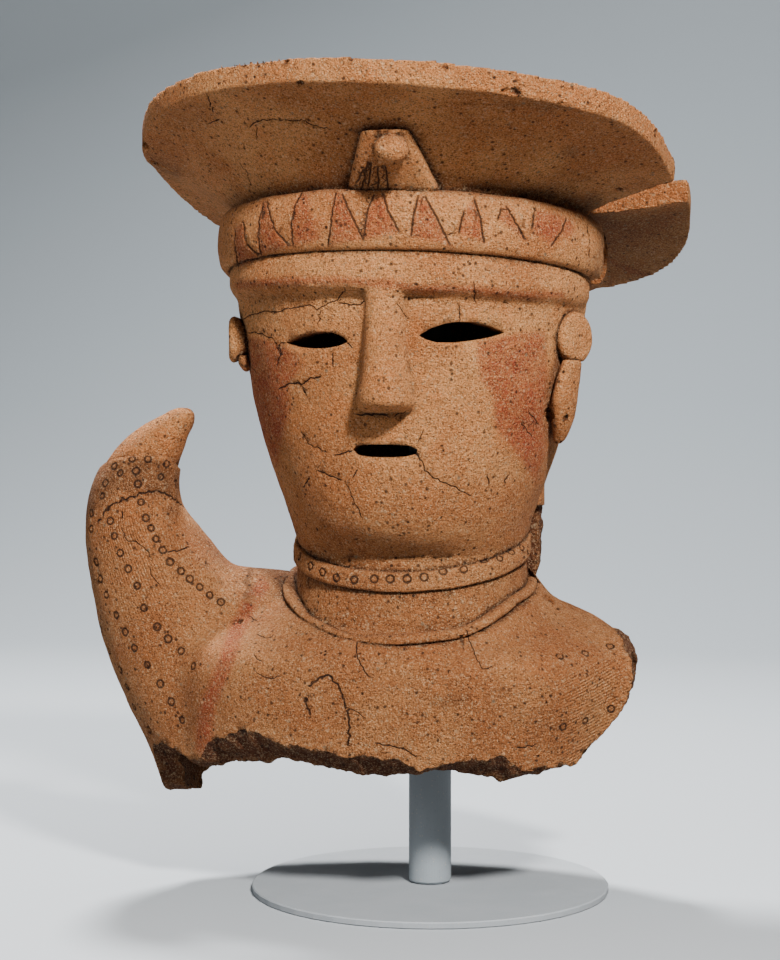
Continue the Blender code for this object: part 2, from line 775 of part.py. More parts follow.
def turned(name, radius, low, high, edge, finish, parts):
    """A round bar or plate with broken edges, standing on the axis."""
    middle = (0, 0, (low + high) / 2)
    bpy.ops.mesh.primitive_cylinder_add(vertices=48, radius=radius, depth=high - low, location=middle)
    made = bpy.context.object
    made.name = made.data.name = name
    bevel = made.modifiers.new("broken edges", "BEVEL")
    bevel.width = edge
    bevel.segments = 1
    bevel.limit_method = "ANGLE"
    made.data.materials.append(finish)
    made.data.shade_smooth()
    made.data.set_sharp_from_angle(angle=math.radians(35))
    into(parts, made)
    return made


def stand(parts):
    """The post carries the figure under its crown, and stands in the middle of its foot."""
    paint = material("grey_paint", (0.45, 0.48, 0.50), 0.55)
    crown = CEILING * UNIT + FIGURE_LIFT
    turned("stand_foot", FOOT_DIAMETER / 2, 0.0, FOOT_THICKNESS, FOOT_EDGE, paint, parts)
    low = FOOT_THICKNESS + FIT_GAP
    turned("stand_post", POST_DIAMETER / 2, low, crown - FIT_GAP, POST_EDGE, paint, parts)


def main():
    for old in list(bpy.data.objects):
        bpy.data.objects.remove(old)
    parts = bpy.data.collections.new("haniwa")
    tools = bpy.data.collections.new("haniwa cutters")
    for collection in (parts, tools):
        bpy.context.scene.collection.children.link(collection)
    figure(parts, tools)
    stand(parts)


main()
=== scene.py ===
"""The haniwa bust dressed for its photograph: ring-stamped, cracked, sandy clay, its stand and a pale stage."""

import math

import bmesh
import bpy
import numpy as np
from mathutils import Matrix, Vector, noise
from mathutils.bvhtree import BVHTree
from mathutils.kdtree import KDTree


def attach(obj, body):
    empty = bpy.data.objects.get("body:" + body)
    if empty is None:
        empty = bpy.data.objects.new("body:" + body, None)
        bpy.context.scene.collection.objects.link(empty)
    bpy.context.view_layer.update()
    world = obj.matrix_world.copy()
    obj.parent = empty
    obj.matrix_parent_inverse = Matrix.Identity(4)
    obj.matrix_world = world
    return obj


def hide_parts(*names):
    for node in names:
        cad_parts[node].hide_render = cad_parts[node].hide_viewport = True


bl_info = {
    "name": "Haniwa bust",
    "version": (1, 0, 0),
    "blender": (4, 5, 0),
    "location": "3D View > Sidebar > Haniwa",
    "description": "Builds a broken haniwa bust, its stand and a plain stage",
    "category": "Object",
}

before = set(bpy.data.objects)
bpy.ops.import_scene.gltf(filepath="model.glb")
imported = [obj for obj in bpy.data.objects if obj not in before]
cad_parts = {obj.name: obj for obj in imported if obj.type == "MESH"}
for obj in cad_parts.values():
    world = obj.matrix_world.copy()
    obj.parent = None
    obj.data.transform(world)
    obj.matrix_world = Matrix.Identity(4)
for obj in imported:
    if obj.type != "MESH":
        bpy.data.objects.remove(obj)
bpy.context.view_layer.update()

# The photograph: a level camera, in metres from the post's axis, and pixels across a frame of 780 by 960.
CAMERA_BEARING = math.radians(9.0)
CAMERA_DISTANCE = 0.950
CAMERA_SIDE = -0.018
CAMERA_HEIGHT = 0.206
HORIZON = 430.0
MIDDLE = 390.0
FOCAL = 2111.1
RIGHT = np.array((math.cos(CAMERA_BEARING), math.sin(CAMERA_BEARING), 0.0))
AHEAD = np.array((-math.sin(CAMERA_BEARING), math.cos(CAMERA_BEARING), 0.0))
UP = np.array((0.0, 0.0, 1.0))
EYE = -AHEAD * CAMERA_DISTANCE + RIGHT * CAMERA_SIDE + UP * CAMERA_HEIGHT
PIXEL = 0.00045

# The figure's own sizes, in metres. Its tables are shares of its height, 1 mm each at the real size.
FIGURE_HEIGHT = 0.310
FIGURE_LIFT = 0.045
CROWN_THICKNESS = 0.013
BOARD_THICKNESS = 0.010
UNIT = FIGURE_HEIGHT / 310.0
ROUND = 96
OUTER_TRIANGLES = 58000

# The head's axis, and its level sections from the neck up: height, half width, reach to front and back.
HEAD_X = -8.0
HEAD_ROWS = (
    (104, 49, 47, 49),
    (110, 51, 56, 51),
    (118, 53, 65, 53),
    (128, 56, 70, 56),
    (140, 60.5, 72, 62),
    (156, 66, 73.5, 68),
    (176, 71, 75.5, 73),
    (200, 75.5, 77.5, 77),
    (220, 78.5, 79, 79),
    (243, 80, 80, 80),
    (262, 78, 78, 78),
)
CEILING = 248.0

# The neck: height and radius.
NECK_ROWS = ((54, 58), (66, 55.5), (80, 53.5), (94, 52), (108, 51), (135, 50))

# The robe: height on the axis, fall towards the front, centre, half width, reach to front and back.
ROBE_ROWS = (
    (-30, 0.00, -20, 90, 65, 62),
    (20, 0.00, -17, 98, 67, 66),
    (45, 0.02, -14, 103, 69, 68),
    (57, 0.06, -13, 105, 69, 68),
    (65, 0.10, -13, 101, 68.5, 67.5),
    (71, 0.14, -14, 95, 68, 66),
    (75, 0.17, -15, 86, 67, 65),
    (79, 0.21, -15, 73, 65.5, 63),
    (84, 0.25, -12, 65, 64, 60.5),
    (88, 0.29, -10, 59.5, 62, 58.5),
    (91.5, 0.31, -9, 56, 59, 56.5),
)

ROBE_SQUARENESS = 2 / 2.25

# The raised right arm in its sleeve: centre x, y and height, then half thickness seen from front and side.
ARM_ROWS = (
    (-84, 2, -30, 28, 36),
    (-97, 1, 20, 31, 37),
    (-109, 0, 52, 34, 36),
    (-120, -1, 80, 34, 34),
    (-130, -3, 104, 28, 30),
    (-135, -5, 121, 23.5, 26),
    (-133.5, -7, 136, 20, 22),
    (-127, -8, 150, 15.5, 17),
    (-118.5, -9, 160.5, 11.5, 12.5),
    (-111, -10, 168.5, 7, 7.5),
    (-108, -10, 171, 3, 3),
)
ARM_HOLLOW_ROWS = 6

# The shoulder under the raised arm, and the stump of the left arm: the two ends of each, and their radii.
RIGHT_SHOULDER = ((-58, 6, 68), 28, (-122, 0, 74), 28)
LEFT_STUMP = ((40, 0, 44), 31, (118, -2, 40), 32)

# The hair board: bearing, and distance from the head's axis to its rim, before its break.
BOARD_OUTLINE = (
    (-180, 104), (-165, 105), (-150, 109), (-135, 115), (-120, 122), (-105, 123), (-90, 120), (-75, 121),
    (-60, 121.5), (-45, 121.5), (-30, 123), (-15, 123.5), (0, 124.5), (15, 126), (30, 130), (45, 132.5),
    (60, 127), (75, 121.5), (90, 122), (105, 128), (120, 135), (135, 131), (150, 119), (165, 110), (180, 104),
)
# Height of the rim's middle against distance behind the head's axis, and its fall towards the left.
RIM_ROWS = ((-126, 303), (-75, 294), (-30, 281), (0, 277.5), (30, 271), (70, 254), (106, 237))
RIM_ROLL = -0.07
BOARD_ROOT_RADIUS = 77.0
# Where the board closes inside the head, and the crown over it: radius, share of the rise to the rim.
BOARD_CORE_RADIUS = 60.0
BOARD_CORE_FOOT = CEILING - 20.0
CROWN_ROWS = ((58.0, 0.45), (34.0, 0.12), (12.0, 0.0))
BOARD_ROOT_HEIGHT = 257.0
BOARD_ROOT_FALL = -0.06
CROWN_TOP = CEILING + CROWN_THICKNESS / UNIT

# The rolled hair band: height on the axis, fall to the back and to the left, half height, how far it stands
# out, and how square its section is, from 1 for round down to 0.
BAND_HEIGHT = 241.0
BAND_FALL = -0.085
BAND_ROLL = -0.02
BAND_HALF_HEIGHT = 13.0
BAND_PROUD = 7.5
BAND_LEVEL_RADIUS = 80.0
BAND_SQUARENESS = 0.55

# The brow ledge below it: height of its ridge on the axis, its fall to the left, how far it runs to either
# side, and its section as height over the ridge and share of how far it stands out.
BROW_HEIGHT = 221.0
BROW_ROLL = -0.035
BROW_PROUD = 6.0
BROW_SPREAD_DEG = 84.0
BROW_SECTION = (
    (17, -0.4), (16, 0.3), (10, 0.72), (4, 0.95), (0.5, 1.0), (-2, 0.75), (-4.5, 0.1), (-5, -0.5), (6, -0.9),
)

# The nose, from the brow down: height, half width, how far it stands out of the face. Then how deep its
# middle and its back lie inside.
NOSE_ROWS = (
    (226, 9.5, 5), (212, 9, 7), (196, 9.5, 11), (182, 11, 15), (174, 12.5, 17), (170.5, 12, 15),
    (168.5, 10, 9),
)
NOSE_ROOT = 6.0
NOSE_BACK = 4.0

# Ear discs: bearing on the head and height, then for each the bearing that it faces, radius, thickness and
# stand off the head.
EAR_BEARING = 71.0
EAR_HEIGHT = 201.0
EAR_ROOT = 8.0
LEFT_EAR = (60.0, 11.5, 6.0, 3.0)
RIGHT_EAR = (79.0, 10.4, 4.6, 4.6)
# Pendants: height, centre along the surface, half width, half thickness, stand from the surface. The left
# one is nearly whole, and of the right one only the root is left.
LEFT_PENDANT = (
    (191, 0, 7, 3.0, 5), (184, -1, 8.5, 4.0, 5), (174, -1, 9, 4.6, 5), (165, 1, 6.5, 4.2, 5),
    (158, 3, 3.5, 3.0, 4.5), (155, 3.5, 1.5, 1.5, 4),
)
RIGHT_PENDANT = (
    (194, 0, 5.5, 2.6, 3), (190.5, 0.3, 4.6, 2.4, 2.4), (188, 0.6, 3.0, 1.8, 1.8),
    (186.8, 0.8, 1.4, 1.0, 1.4),
)
PENDANT_BEARING = 69.0

# The comb on the front of the hair: height, half width, distance in front of the head's axis.
COMB_ROWS = ((256, 20.5, 80), (262, 18.7, 86), (272, 14.5, 96.5), (282, 10.3, 104.5))
COMB_X = -4.5
COMB_DEPTH = 22.0
COMB_KNOB = (-1.6, -101.5, 274.0)
COMB_KNOB_SIZE = (7.4, 6.6, 6.2)

# The choker of stamped beads: height on the axis, rise to the back, half height, how far it stands out, and
# its two ends.
CHOKER_HEIGHT = 110.0
CHOKER_RISE = 0.27
CHOKER_HALF_HEIGHT = 4.4
CHOKER_PROUD = 2.6
CHOKER_ENDS_DEG = (-176.0, 97.0)
NECK_RADIUS = 51.0

# The robe's collar edge: bearing, height, distance from the head's axis; then its half height and thickness.
COLLAR_ROWS = (
    (-180, 106, 57), (-135, 103, 58), (-90, 95, 58), (-63, 86, 57), (-48, 80, 57.5), (-36, 77, 58.5),
    (-25, 74.5, 60), (-14, 72.5, 60.5), (2, 73.5, 61.5), (21, 75.5, 62), (29, 76.5, 61.5), (39, 79.5, 59.5),
    (51, 84, 57), (66, 88.5, 55), (85, 92, 55), (120, 100, 56), (150, 104, 57), (180, 106, 57),
)
COLLAR_HALF_HEIGHT = 2.6
COLLAR_DEPTH = 7.0

# The broken slab of hair at the nape: height, half width, nearest and farthest distance behind the axis.
NAPE_ROWS = (
    (88, 49, 32, 58), (100, 53, 32, 60), (112, 54.5, 33, 61), (126, 54.5, 34, 62), (145, 54, 36, 63),
    (160, 50, 40, 64), (172, 40, 46, 64),
)
NAPE_X = -7.0
# Where its left end is broken back, in plan and between two heights.
NAPE_BREAK = ((36, 34), (62, 25), (62, 70), (46, 66), (45, 44), (34, 43))
NAPE_BREAK_HEIGHTS = (84.0, 126.0)

# Edge of the break round the bottom: bearing, height where it meets the outer face, depth of the bevel to the
# inner face; then the centre and half widths of the oval that it is measured round.
BREAK_ROWS = (
    (-180, 16, 4), (-150, 14, 4), (-128, 11, 4), (-116, 8, 4), (-108, 2, 3), (-100, -4, 2), (-90, -2, 1),
    (-79, 0, 1), (-74, 15, 3), (-66, 17, 5), (-58, 15, 5), (-51, 17, 5), (-46, 22, 8), (-37, 26, 14),
    (-31, 27, 14), (-28, 27, 10), (-20, 26, 9), (-6, 24.5, 10), (2, 23, 10), (9, 21, 7.5), (12.5, 18, 3),
    (17, 18, 2), (22, 22, 6), (32, 21, 10), (36, 18.5, 9), (39, 16, 6), (48, 15.5, 4), (57, 18, 1),
    (68, 24, 0), (77, 31, 0), (90, 42, 0), (110, 40, 1), (140, 24, 3), (180, 16, 4),
)
BREAK_CENTRE_X = -17.0
BREAK_HALF_WIDTH = 98.0
BREAK_HALF_DEPTH = 67.0
BREAK_FLOOR = -60.0
BREAK_RIPPLE = 0.8
BREAK_CHIPS = 1.3
BREAK_STEPS = 420

# The broken end of the left shoulder, seen from the front: distance to the left and height.
STUMP_BREAK = (
    (64, -40), (64, 13), (72, 23), (79, 31), (85, 37), (89, 44), (91, 51), (92, 57), (90, 64), (86, 70),
    (80, 76), (78, 90), (78, 140), (180, 140), (180, -40),
)

# The break across the back of the neck, beside the choker's end: bearings, radii and heights.
NECK_HOLE_DEG = (95.0, 124.0)
NECK_HOLE_RADII = (34.0, 59.0)
NECK_HOLE_HEIGHTS = (92.0, 128.0)

# The break in the hair board, to the left: a gap right through, as points in plan.
BOARD_GAP = (
    (70, -2), (82, -14), (100, -23), (111, -30), (150, -52), (150, 6), (116, 7), (98, 9), (83, 8), (73, 5),
)
BOARD_GAP_HEIGHTS = (215.0, 330.0)


# What the photograph shows on the surface, in its pixels.
# The eye and mouth slots, round their openings.
RIGHT_EYE = (
    (286, 343), (295, 337.5), (306, 333.5), (321, 331.5), (334, 333), (343, 337), (348, 341.5), (340, 345.5),
    (328, 348), (312, 348.5), (297, 347),
)
LEFT_EYE = (
    (419, 335.5), (430, 328.5), (445, 323.5), (459, 321.5), (475, 322), (491, 326), (505, 332.5), (492, 337),
    (475, 340), (455, 342.5), (437, 342.5), (426, 339.5),
)
MOUTH = (
    (353, 450), (356, 445.5), (366, 444.5), (390, 444.5), (409, 445.5), (418, 449.5), (416, 454), (406, 456.5),
    (390, 457.5), (368, 457), (357, 455),
)
SLOTS = (("right_eye", RIGHT_EYE), ("left_eye", LEFT_EYE), ("mouth", MOUTH))

# Strokes incised in the hair band, and the pairs of them that hold a red triangle.
BAND_STROKES = (
    ((235, 231), (235, 249), (239, 269)),
    ((243, 221), (244, 231), (247, 244), (258, 256)),
    ((263, 203), (259, 221), (258, 236), (261, 255)),
    ((267, 201), (271, 220), (276, 232), (289, 246)),
    ((302, 193), (295, 204), (291, 225), (293, 246)),
    ((308, 189), (310, 209), (314, 225), (324, 239)),
    ((336, 193), (332, 211), (330, 231), (328, 246)),
    ((342, 194), (349, 211), (363, 239)),
    ((374, 195), (367, 212), (363, 240)),
    ((383, 194), (388, 212), (400, 232)),
    ((418, 197), (413, 219), (411, 236)),
    ((425, 196), (439, 222), (450, 245)),
    ((464, 211), (461, 222), (459, 233)),
    ((474, 198), (481, 219), (484, 243)),
    ((501, 209), (500, 214), (498, 219)),
    ((507, 206), (516, 223), (526, 240)),
    ((536, 208), (534, 218), (532, 229)),
    ((566, 218), (561, 233), (551, 246)),
    ((587, 226), (589, 240), (589, 257)),
)
RED_TRIANGLES = ((0, 1), (2, 3), (4, 5), (6, 7), (8, 9), (10, 11), (12, 13), (14, 15), (16, 17))
BAND_STROKES_BEHIND = 11
BAND_BEHIND_DEG = (95, 265)

# Strokes cut in the comb on the front of the hair.
COMB_STROKES = (
    ((364, 169), (360, 176), (356, 183)),
    ((368, 162), (365, 175), (362, 188)),
    ((371, 162), (370, 174), (368, 186)),
    ((378, 167), (378, 177), (378, 188)),
    ((385, 165), (387, 174), (388, 188)),
    ((389, 164), (394, 172), (398, 185)),
    ((394, 163), (402, 172), (408, 184)),
)

# Cracks in the fired clay.
CRACKS = (
    ((244, 319), (249, 315), (263, 312), (280, 312), (286, 309), (301, 307), (313, 305), (316, 311), (326, 304),
     (337, 301), (345, 289)),
    ((340, 303), (350, 304), (358, 305), (364, 301)),
    ((249, 333), (256, 333), (263, 334), (271, 338), (276, 343), (277, 345), (285, 343)),
    ((276, 345), (280, 354), (277, 366)),
    ((252, 368), (256, 373)),
    ((279, 389), (285, 385), (296, 382), (301, 385), (308, 380), (321, 376)),
    ((299, 382), (301, 388), (307, 396)),
    ((333, 353), (333, 366)),
    ((346, 342), (353, 348)),
    ((397, 303), (406, 317)),
    ((319, 317), (318, 325)),
    ((474, 283), (475, 291), (475, 301)),
    ((459, 306), (460, 320)),
    ((335, 455), (342, 453), (352, 451)),
    ((418, 445), (423, 431)),
    ((416, 454), (423, 463), (426, 471), (434, 478), (444, 483), (454, 485), (459, 490), (471, 496)),
    ((357, 470), (352, 478)),
    ((318, 471), (328, 475), (342, 480)),
    ((347, 486), (354, 500), (362, 518)),
    ((309, 478), (303, 487)),
    ((301, 431), (309, 445), (326, 452)),
    ((487, 475), (489, 484)),
    ((509, 475), (505, 484)),
    ((529, 412), (538, 424)),
    ((522, 422), (532, 437)),
    ((356, 414), (387, 415)),
    ((395, 416), (409, 410)),
    ((207, 95), (210, 103), (213, 112)),
    ((208, 124), (219, 120)),
    ((240, 163), (247, 174), (251, 184)),
    ((250, 127), (257, 121), (276, 119), (295, 121), (302, 119), (312, 125), (330, 130)),
    ((257, 127), (257, 139)),
    ((357, 642), (357, 652), (360, 664), (364, 671), (370, 677)),
    ((466, 630), (469, 641), (474, 651), (478, 661), (483, 669), (487, 669), (492, 666)),
    ((256, 672), (261, 676), (266, 677), (272, 679), (279, 676)),
    ((254, 654), (258, 660), (261, 661)),
    ((256, 635), (267, 638), (273, 635)),
    ((249, 616), (257, 621)),
    ((348, 708), (357, 712), (365, 718)),
    ((376, 743), (390, 746), (404, 749), (417, 757)),
    ((518, 748), (527, 747), (536, 744)),
    ((122, 529), (125, 535), (128, 541), (137, 542), (142, 546), (148, 551), (150, 557)),
    ((167, 552), (176, 550), (189, 547)),
    ((150, 568), (152, 576), (159, 584)),
    ((122, 511), (123, 518)),
)
# Wider ones: the break round the mended sleeve, the lifted flake on the chest and a groove beside it.
WIDE_CRACKS = (
    ((98, 522), (102, 516), (108, 507), (116, 502), (126, 497), (134, 496), (142, 494), (152, 491), (160, 492),
     (170, 496), (178, 502), (184, 507)),
    ((308, 686), (314, 681), (328, 675), (338, 685), (343, 699), (348, 718), (349, 746)),
    ((304, 699), (310, 715)),
    ((295, 560), (287, 573), (288, 588), (293, 605), (303, 619), (318, 628)),
)

# Rings pressed with a hollow stem: on the choker, the raised sleeve and the left shoulder.
BEAD_RINGS = (
    (299, 556), (310, 566), (322, 572), (336, 578), (354, 580), (374, 579), (390, 579), (407, 579), (424, 577),
    (443, 571), (464, 569), (484, 561), (500, 558), (512, 552), (522, 547),
)
SLEEVE_RINGS = (
    (132, 459), (148, 459), (167, 464), (114, 466), (120, 473), (136, 471), (161, 477), (176, 483), (138, 484),
    (105, 483), (102, 496), (141, 502), (144, 509), (146, 518), (151, 528), (156, 539), (163, 550), (170, 562),
    (181, 571), (190, 579), (200, 587), (210, 595), (91, 513), (91, 529), (110, 521), (114, 536), (120, 553),
    (128, 569), (137, 586), (96, 562), (100, 579), (106, 595), (221, 602), (129, 568), (137, 585), (144, 608),
    (157, 627), (168, 639), (181, 651), (193, 666), (100, 579), (107, 596), (116, 615), (125, 632), (134, 648),
    (147, 665), (160, 684), (171, 702), (182, 720), (101, 629), (109, 651), (120, 670), (127, 687), (134, 707),
    (149, 730), (161, 747),
)
SHOULDER_RINGS = ((585.5, 653), (610, 646), (585.5, 721), (560, 656), (563, 727), (611, 709))
# Rings closer than this share of their width are one. On the choker's hidden sides they go on at these bearings.
RING_GAP = 1.3
HIDDEN_BEAD_BEARINGS = (*range(-62, -171, -9), 63, 72, 81, 90)

# Pits and dents: place, radius and depth, both in pixels.
PITS = (
    ((274, 185), 3, 3), ((370, 678), 1.6, 2), ((376, 663), 1.8, 2), ((390, 674), 1.6, 2), ((399, 624), 2.2, 2),
    ((336, 619), 1.8, 2), ((269, 657), 3, 2.4), ((297, 693), 1.8, 2), ((363, 694), 2.2, 2), ((536, 735), 2.4, 2),
    ((541, 733), 2.4, 2), ((497, 748), 2, 2), ((518, 748), 2, 2), ((109, 509), 2.6, 3), ((121, 502), 2.6, 3),
    ((113, 580), 2.2, 2), ((519, 94), 2.6, 2),
    ((458, 356), 1.8, 1.2), ((420, 372), 1.5, 1.2), ((322, 520), 1.8, 1.4), ((468, 442), 1.6, 1.2),
    ((232, 655), 1.8, 1.4), ((438, 653), 1.8, 1.4), ((500, 690), 1.8, 1.4), ((575, 664), 1.6, 1.2),
)

# Red pigment, soot and stains, as outlines. Some of the soot outlines are painted shade, as marked below.
RED_PATCHES = (
    ((246, 336), (266, 339), (286, 348), (305, 357), (301, 371), (289, 384), (291, 406), (284, 433), (277, 470),
     (262, 452), (248, 410), (240, 370)),
    ((476, 341), (505, 335), (545, 330), (548, 375), (548, 420), (545, 455), (536, 484), (525, 467), (511, 447),
     (495, 427), (492, 395), (481, 381), (477, 362)),
)
RED_STROKES = (
    ((262, 586), (250, 603), (238, 626), (225, 664), (216, 686), (207, 709), (203, 748)),
    ((239, 285), (284, 281), (339, 280), (400, 285), (414, 289), (470, 289), (519, 295), (561, 295)),
)
RED_STROKE_WIDTHS = (8.0, 4.5)
BAND_RED_PATCHES = (
    ((535, 214), (546, 217), (548, 234), (534, 236)),
    ((563, 217), (574, 219), (575, 236), (562, 238)),
)
SOOT_AND_SHADE = (
    ((160, 506), (176, 503), (181, 514), (168, 519)),
    ((563, 148), (570, 148), (577, 153), (568, 157)),
    ((496, 104), (530, 101), (578, 104), (578, 111), (530, 110)),
    # These five are painted shade: under the rear of the hair board and in the gap between its front and its rear.
    ((648, 220), (660, 220), (662, 233), (650, 233)),
    ((640, 262), (668, 256), (684, 240), (694, 215), (696, 262), (650, 286)),
    ((600, 214), (640, 212), (677, 207), (690, 198), (694, 215), (690, 246), (668, 272), (640, 286),
     (600, 290), (590, 262), (598, 240)),
    ((587, 196), (604, 192), (600, 204), (597, 228), (589, 226)),
    ((148, 156), (160, 158), (182, 172), (178, 180), (160, 172), (150, 166)),
    ((448, 694), (467, 694), (468, 708), (448, 708)),
    ((430, 694), (442, 694), (442, 704), (430, 704)),
    ((70, 470), (100, 462), (150, 455), (190, 470), (184, 498), (120, 492), (84, 520)),
)

# The sleeve's cuff, above which the forearm is bare, and the squared break at the arm's tip.
CUFF_EDGE = ((100, 467), (111, 460), (131, 457), (147, 456), (166, 459), (180, 469), (200, 480))
CUFF_STEP = 0.0013
ARM_TIP = ((183, 403), (198, 415))
# The forearm's right, upper and lower limits, and the level above which it leans, by how much and over what rise.
ARM_RIGHT, ARM_TOP, TIP_FOOT = 215, 380, 450
LEAN_FROM, LEAN, LEAN_RISE = 442, 0.0024, 32.0

# Chips broken out: place in the photograph, then radius and how deep it goes in, in millimetres.
BITES = (
    ((143, 143), 4.0, 3.0), ((506, 92), 2.6, 1.1), ((514, 93), 2.8, 1.3), ((550, 600), 3.2, 1.8),
    ((557, 609), 2.4, 1.4), ((549, 412), 3.6, 3.0), ((566, 418), 1.6, 1.2), ((156, 163), 3.6, 2.4),
    ((166, 168), 3.2, 2.0), ((618, 190), 2.4, 1.2), ((301, 83), 1.8, 0.7), ((285, 62), 2.2, 0.8),
    ((446, 66), 2.0, 0.7), ((352, 60), 1.8, 0.6), ((655, 132), 2.0, 0.9), ((240, 622), 1.8, 0.5),
    ((205, 560), 1.8, 0.5), ((463, 640), 1.6, 0.5), ((190, 407), 2.0, 0.9), ((606, 628), 2.0, 1.0),
)


def place(x, y, z):
    """A point of the figure's tables as a point in metres."""
    return (x * UNIT, y * UNIT, z * UNIT + FIGURE_LIFT)


def curve_through(rows, samples):
    """Rows on a smooth curve through the given rows, evenly spaced by row number."""
    rows = np.array(rows, float)
    before = 2 * rows[0] - rows[1]
    after = 2 * rows[-1] - rows[-2]
    knots = np.vstack([before, rows, after])
    out = []
    for position in np.linspace(0, len(rows) - 1, samples):
        i = min(int(position), len(rows) - 2)
        t = position - i
        a, b, c, d = knots[i : i + 4]
        out.append(b + 0.5 * t * (c - a + t * (2 * a - 5 * b + 4 * c - d + t * (3 * (b - c) + d - a))))
    return out


def curve_at(rows, at):
    """The second and later columns of the rows at a value of the first, on a smooth curve."""
    rows = np.array(rows, float)
    fine = np.array(curve_through(rows, 8 * len(rows)))
    return [float(np.interp(at, fine[:, 0], fine[:, k])) for k in range(1, rows.shape[1])]


def new_object(name, points, faces, edges=()):
    mesh = bpy.data.meshes.new(name)
    mesh.from_pydata([tuple(p) for p in points], edges, faces)
    mesh.update()
    made = bpy.data.objects.new(name, mesh)
    bpy.context.scene.collection.objects.link(made)
    return made


def loft(name, rings):
    """A closed solid through rings of equal count, each anticlockwise seen from the last one's side."""
    count = len(rings[0])
    points = [p for ring in rings for p in ring]
    faces = [tuple(range(count))[::-1]]
    for r in range(len(rings) - 1):
        for k in range(count):
            here, there = r * count + k, r * count + (k + 1) % count
            faces.append((here, there, there + count, here + count))
    last = (len(rings) - 1) * count
    faces.append(tuple(range(last, last + count)))
    return new_object(name, points, faces)


def hoop(name, sections):
    """A closed band: sections of equal count in a ring, the last joined to the first."""
    count, number = len(sections[0]), len(sections)
    points = [p for section in sections for p in section]
    faces = []
    for s in range(number):
        for k in range(count):
            a, b = s * count + k, s * count + (k + 1) % count
            c, d = ((s + 1) % number) * count + (k + 1) % count, ((s + 1) % number) * count + k
            faces.append((a, b, c, d))
    return new_object(name, points, faces)


def bearing_point(bearing, radius, z, centre_x=HEAD_X):
    """A point round the head's axis, at a bearing from the front in degrees, positive to the left."""
    angle = math.radians(bearing)
    return (centre_x + radius * math.sin(angle), -radius * math.cos(angle), z)


def circle(count, across=1.0, along=1.0):
    """Cosine and sine of even steps round a circle, which powers under 1 square up."""
    for k in range(count):
        angle = 2 * math.pi * k / count
        c, s = math.cos(angle), math.sin(angle)
        yield math.copysign(abs(c) ** across, c), math.copysign(abs(s) ** along, s)


def level_ring(z, centre_x, half_width, front, back, fall=0.0, power=1.0):
    """A level oval with its own reach to the front and back, on a plane that falls towards the front."""
    ring = []
    for c, s in circle(ROUND, power, power):
        y = (back if s > 0 else front) * s
        ring.append(place(centre_x + half_width * c, y, z + fall * y))
    return ring


def head(shrink=0.0, top=None):
    """The head, or its hollow, which is smaller by the wall and flat on top."""
    rings = []
    for z, width, front, back in curve_through(HEAD_ROWS, 60):
        if top is not None and z > top:
            break
        rings.append(level_ring(z, HEAD_X, width - shrink, front - shrink, back - shrink))
    if top is not None:
        width, front, back = curve_at(HEAD_ROWS, top)
        rings.append(level_ring(top, HEAD_X, width - shrink, front - shrink, back - shrink))
    return loft("head", rings)


def neck(shrink=0.0):
    """The neck or its hollow."""
    rows = curve_through(NECK_ROWS, 24)
    return loft("neck", [level_ring(z, HEAD_X, r - shrink, r - shrink, r - shrink) for z, r in rows])


def robe(shrink=0.0):
    """The shoulders and chest in their robe, or the hollow in them."""
    rings = []
    for z, fall, centre, width, front, back in curve_through(ROBE_ROWS, 60):
        reach = (width - shrink, front - shrink, back - shrink)
        rings.append(level_ring(z - 0.7 * shrink, centre, *reach, fall, ROBE_SQUARENESS))
    return loft("robe", rings)


def arm(shrink=0.0, rows=ARM_ROWS):
    """The sleeve and arm as a bent, tapering form whose sections square up to its own line."""
    line = curve_through(rows, 3 * len(rows))
    rings = []
    for i, (x, y, z, wide, deep) in enumerate(line):
        ahead, behind = line[min(i + 1, len(line) - 1)], line[max(i - 1, 0)]
        dx, dz = ahead[0] - behind[0], ahead[2] - behind[2]
        length = math.hypot(dx, dz)
        side_x, side_z = dz / length, -dx / length
        wide, deep = wide - shrink, deep - shrink
        rings.append([place(x + wide * c * side_x, y + deep * s, z + wide * c * side_z) for c, s in circle(28)])
    return loft("arm", rings)


def limb(name, start, start_radius, end, end_radius, shrink=0.0, steps=10):
    """A round-ended limb between two points."""
    start, end = np.array(start, float), np.array(end, float)
    direction = (end - start) / np.linalg.norm(end - start)
    side = np.cross(direction, (0.0, 1.0, 0.0))
    side /= np.linalg.norm(side)
    other = np.cross(direction, side)
    r0, r1 = start_radius - shrink, end_radius - shrink
    stations = []
    for k in range(1, steps + 1):
        turn = math.pi / 2 * k / steps
        stations.append((start - direction * r0 * math.cos(turn), r0 * math.sin(turn)))
    for k in range(steps):
        turn = math.pi / 2 * k / steps
        stations.append((end + direction * r1 * math.sin(turn), r1 * math.cos(turn)))
    return loft(name, [
        [place(*(centre + radius * (side * c + other * s))) for c, s in circle(28)] for centre, radius in stations
    ])


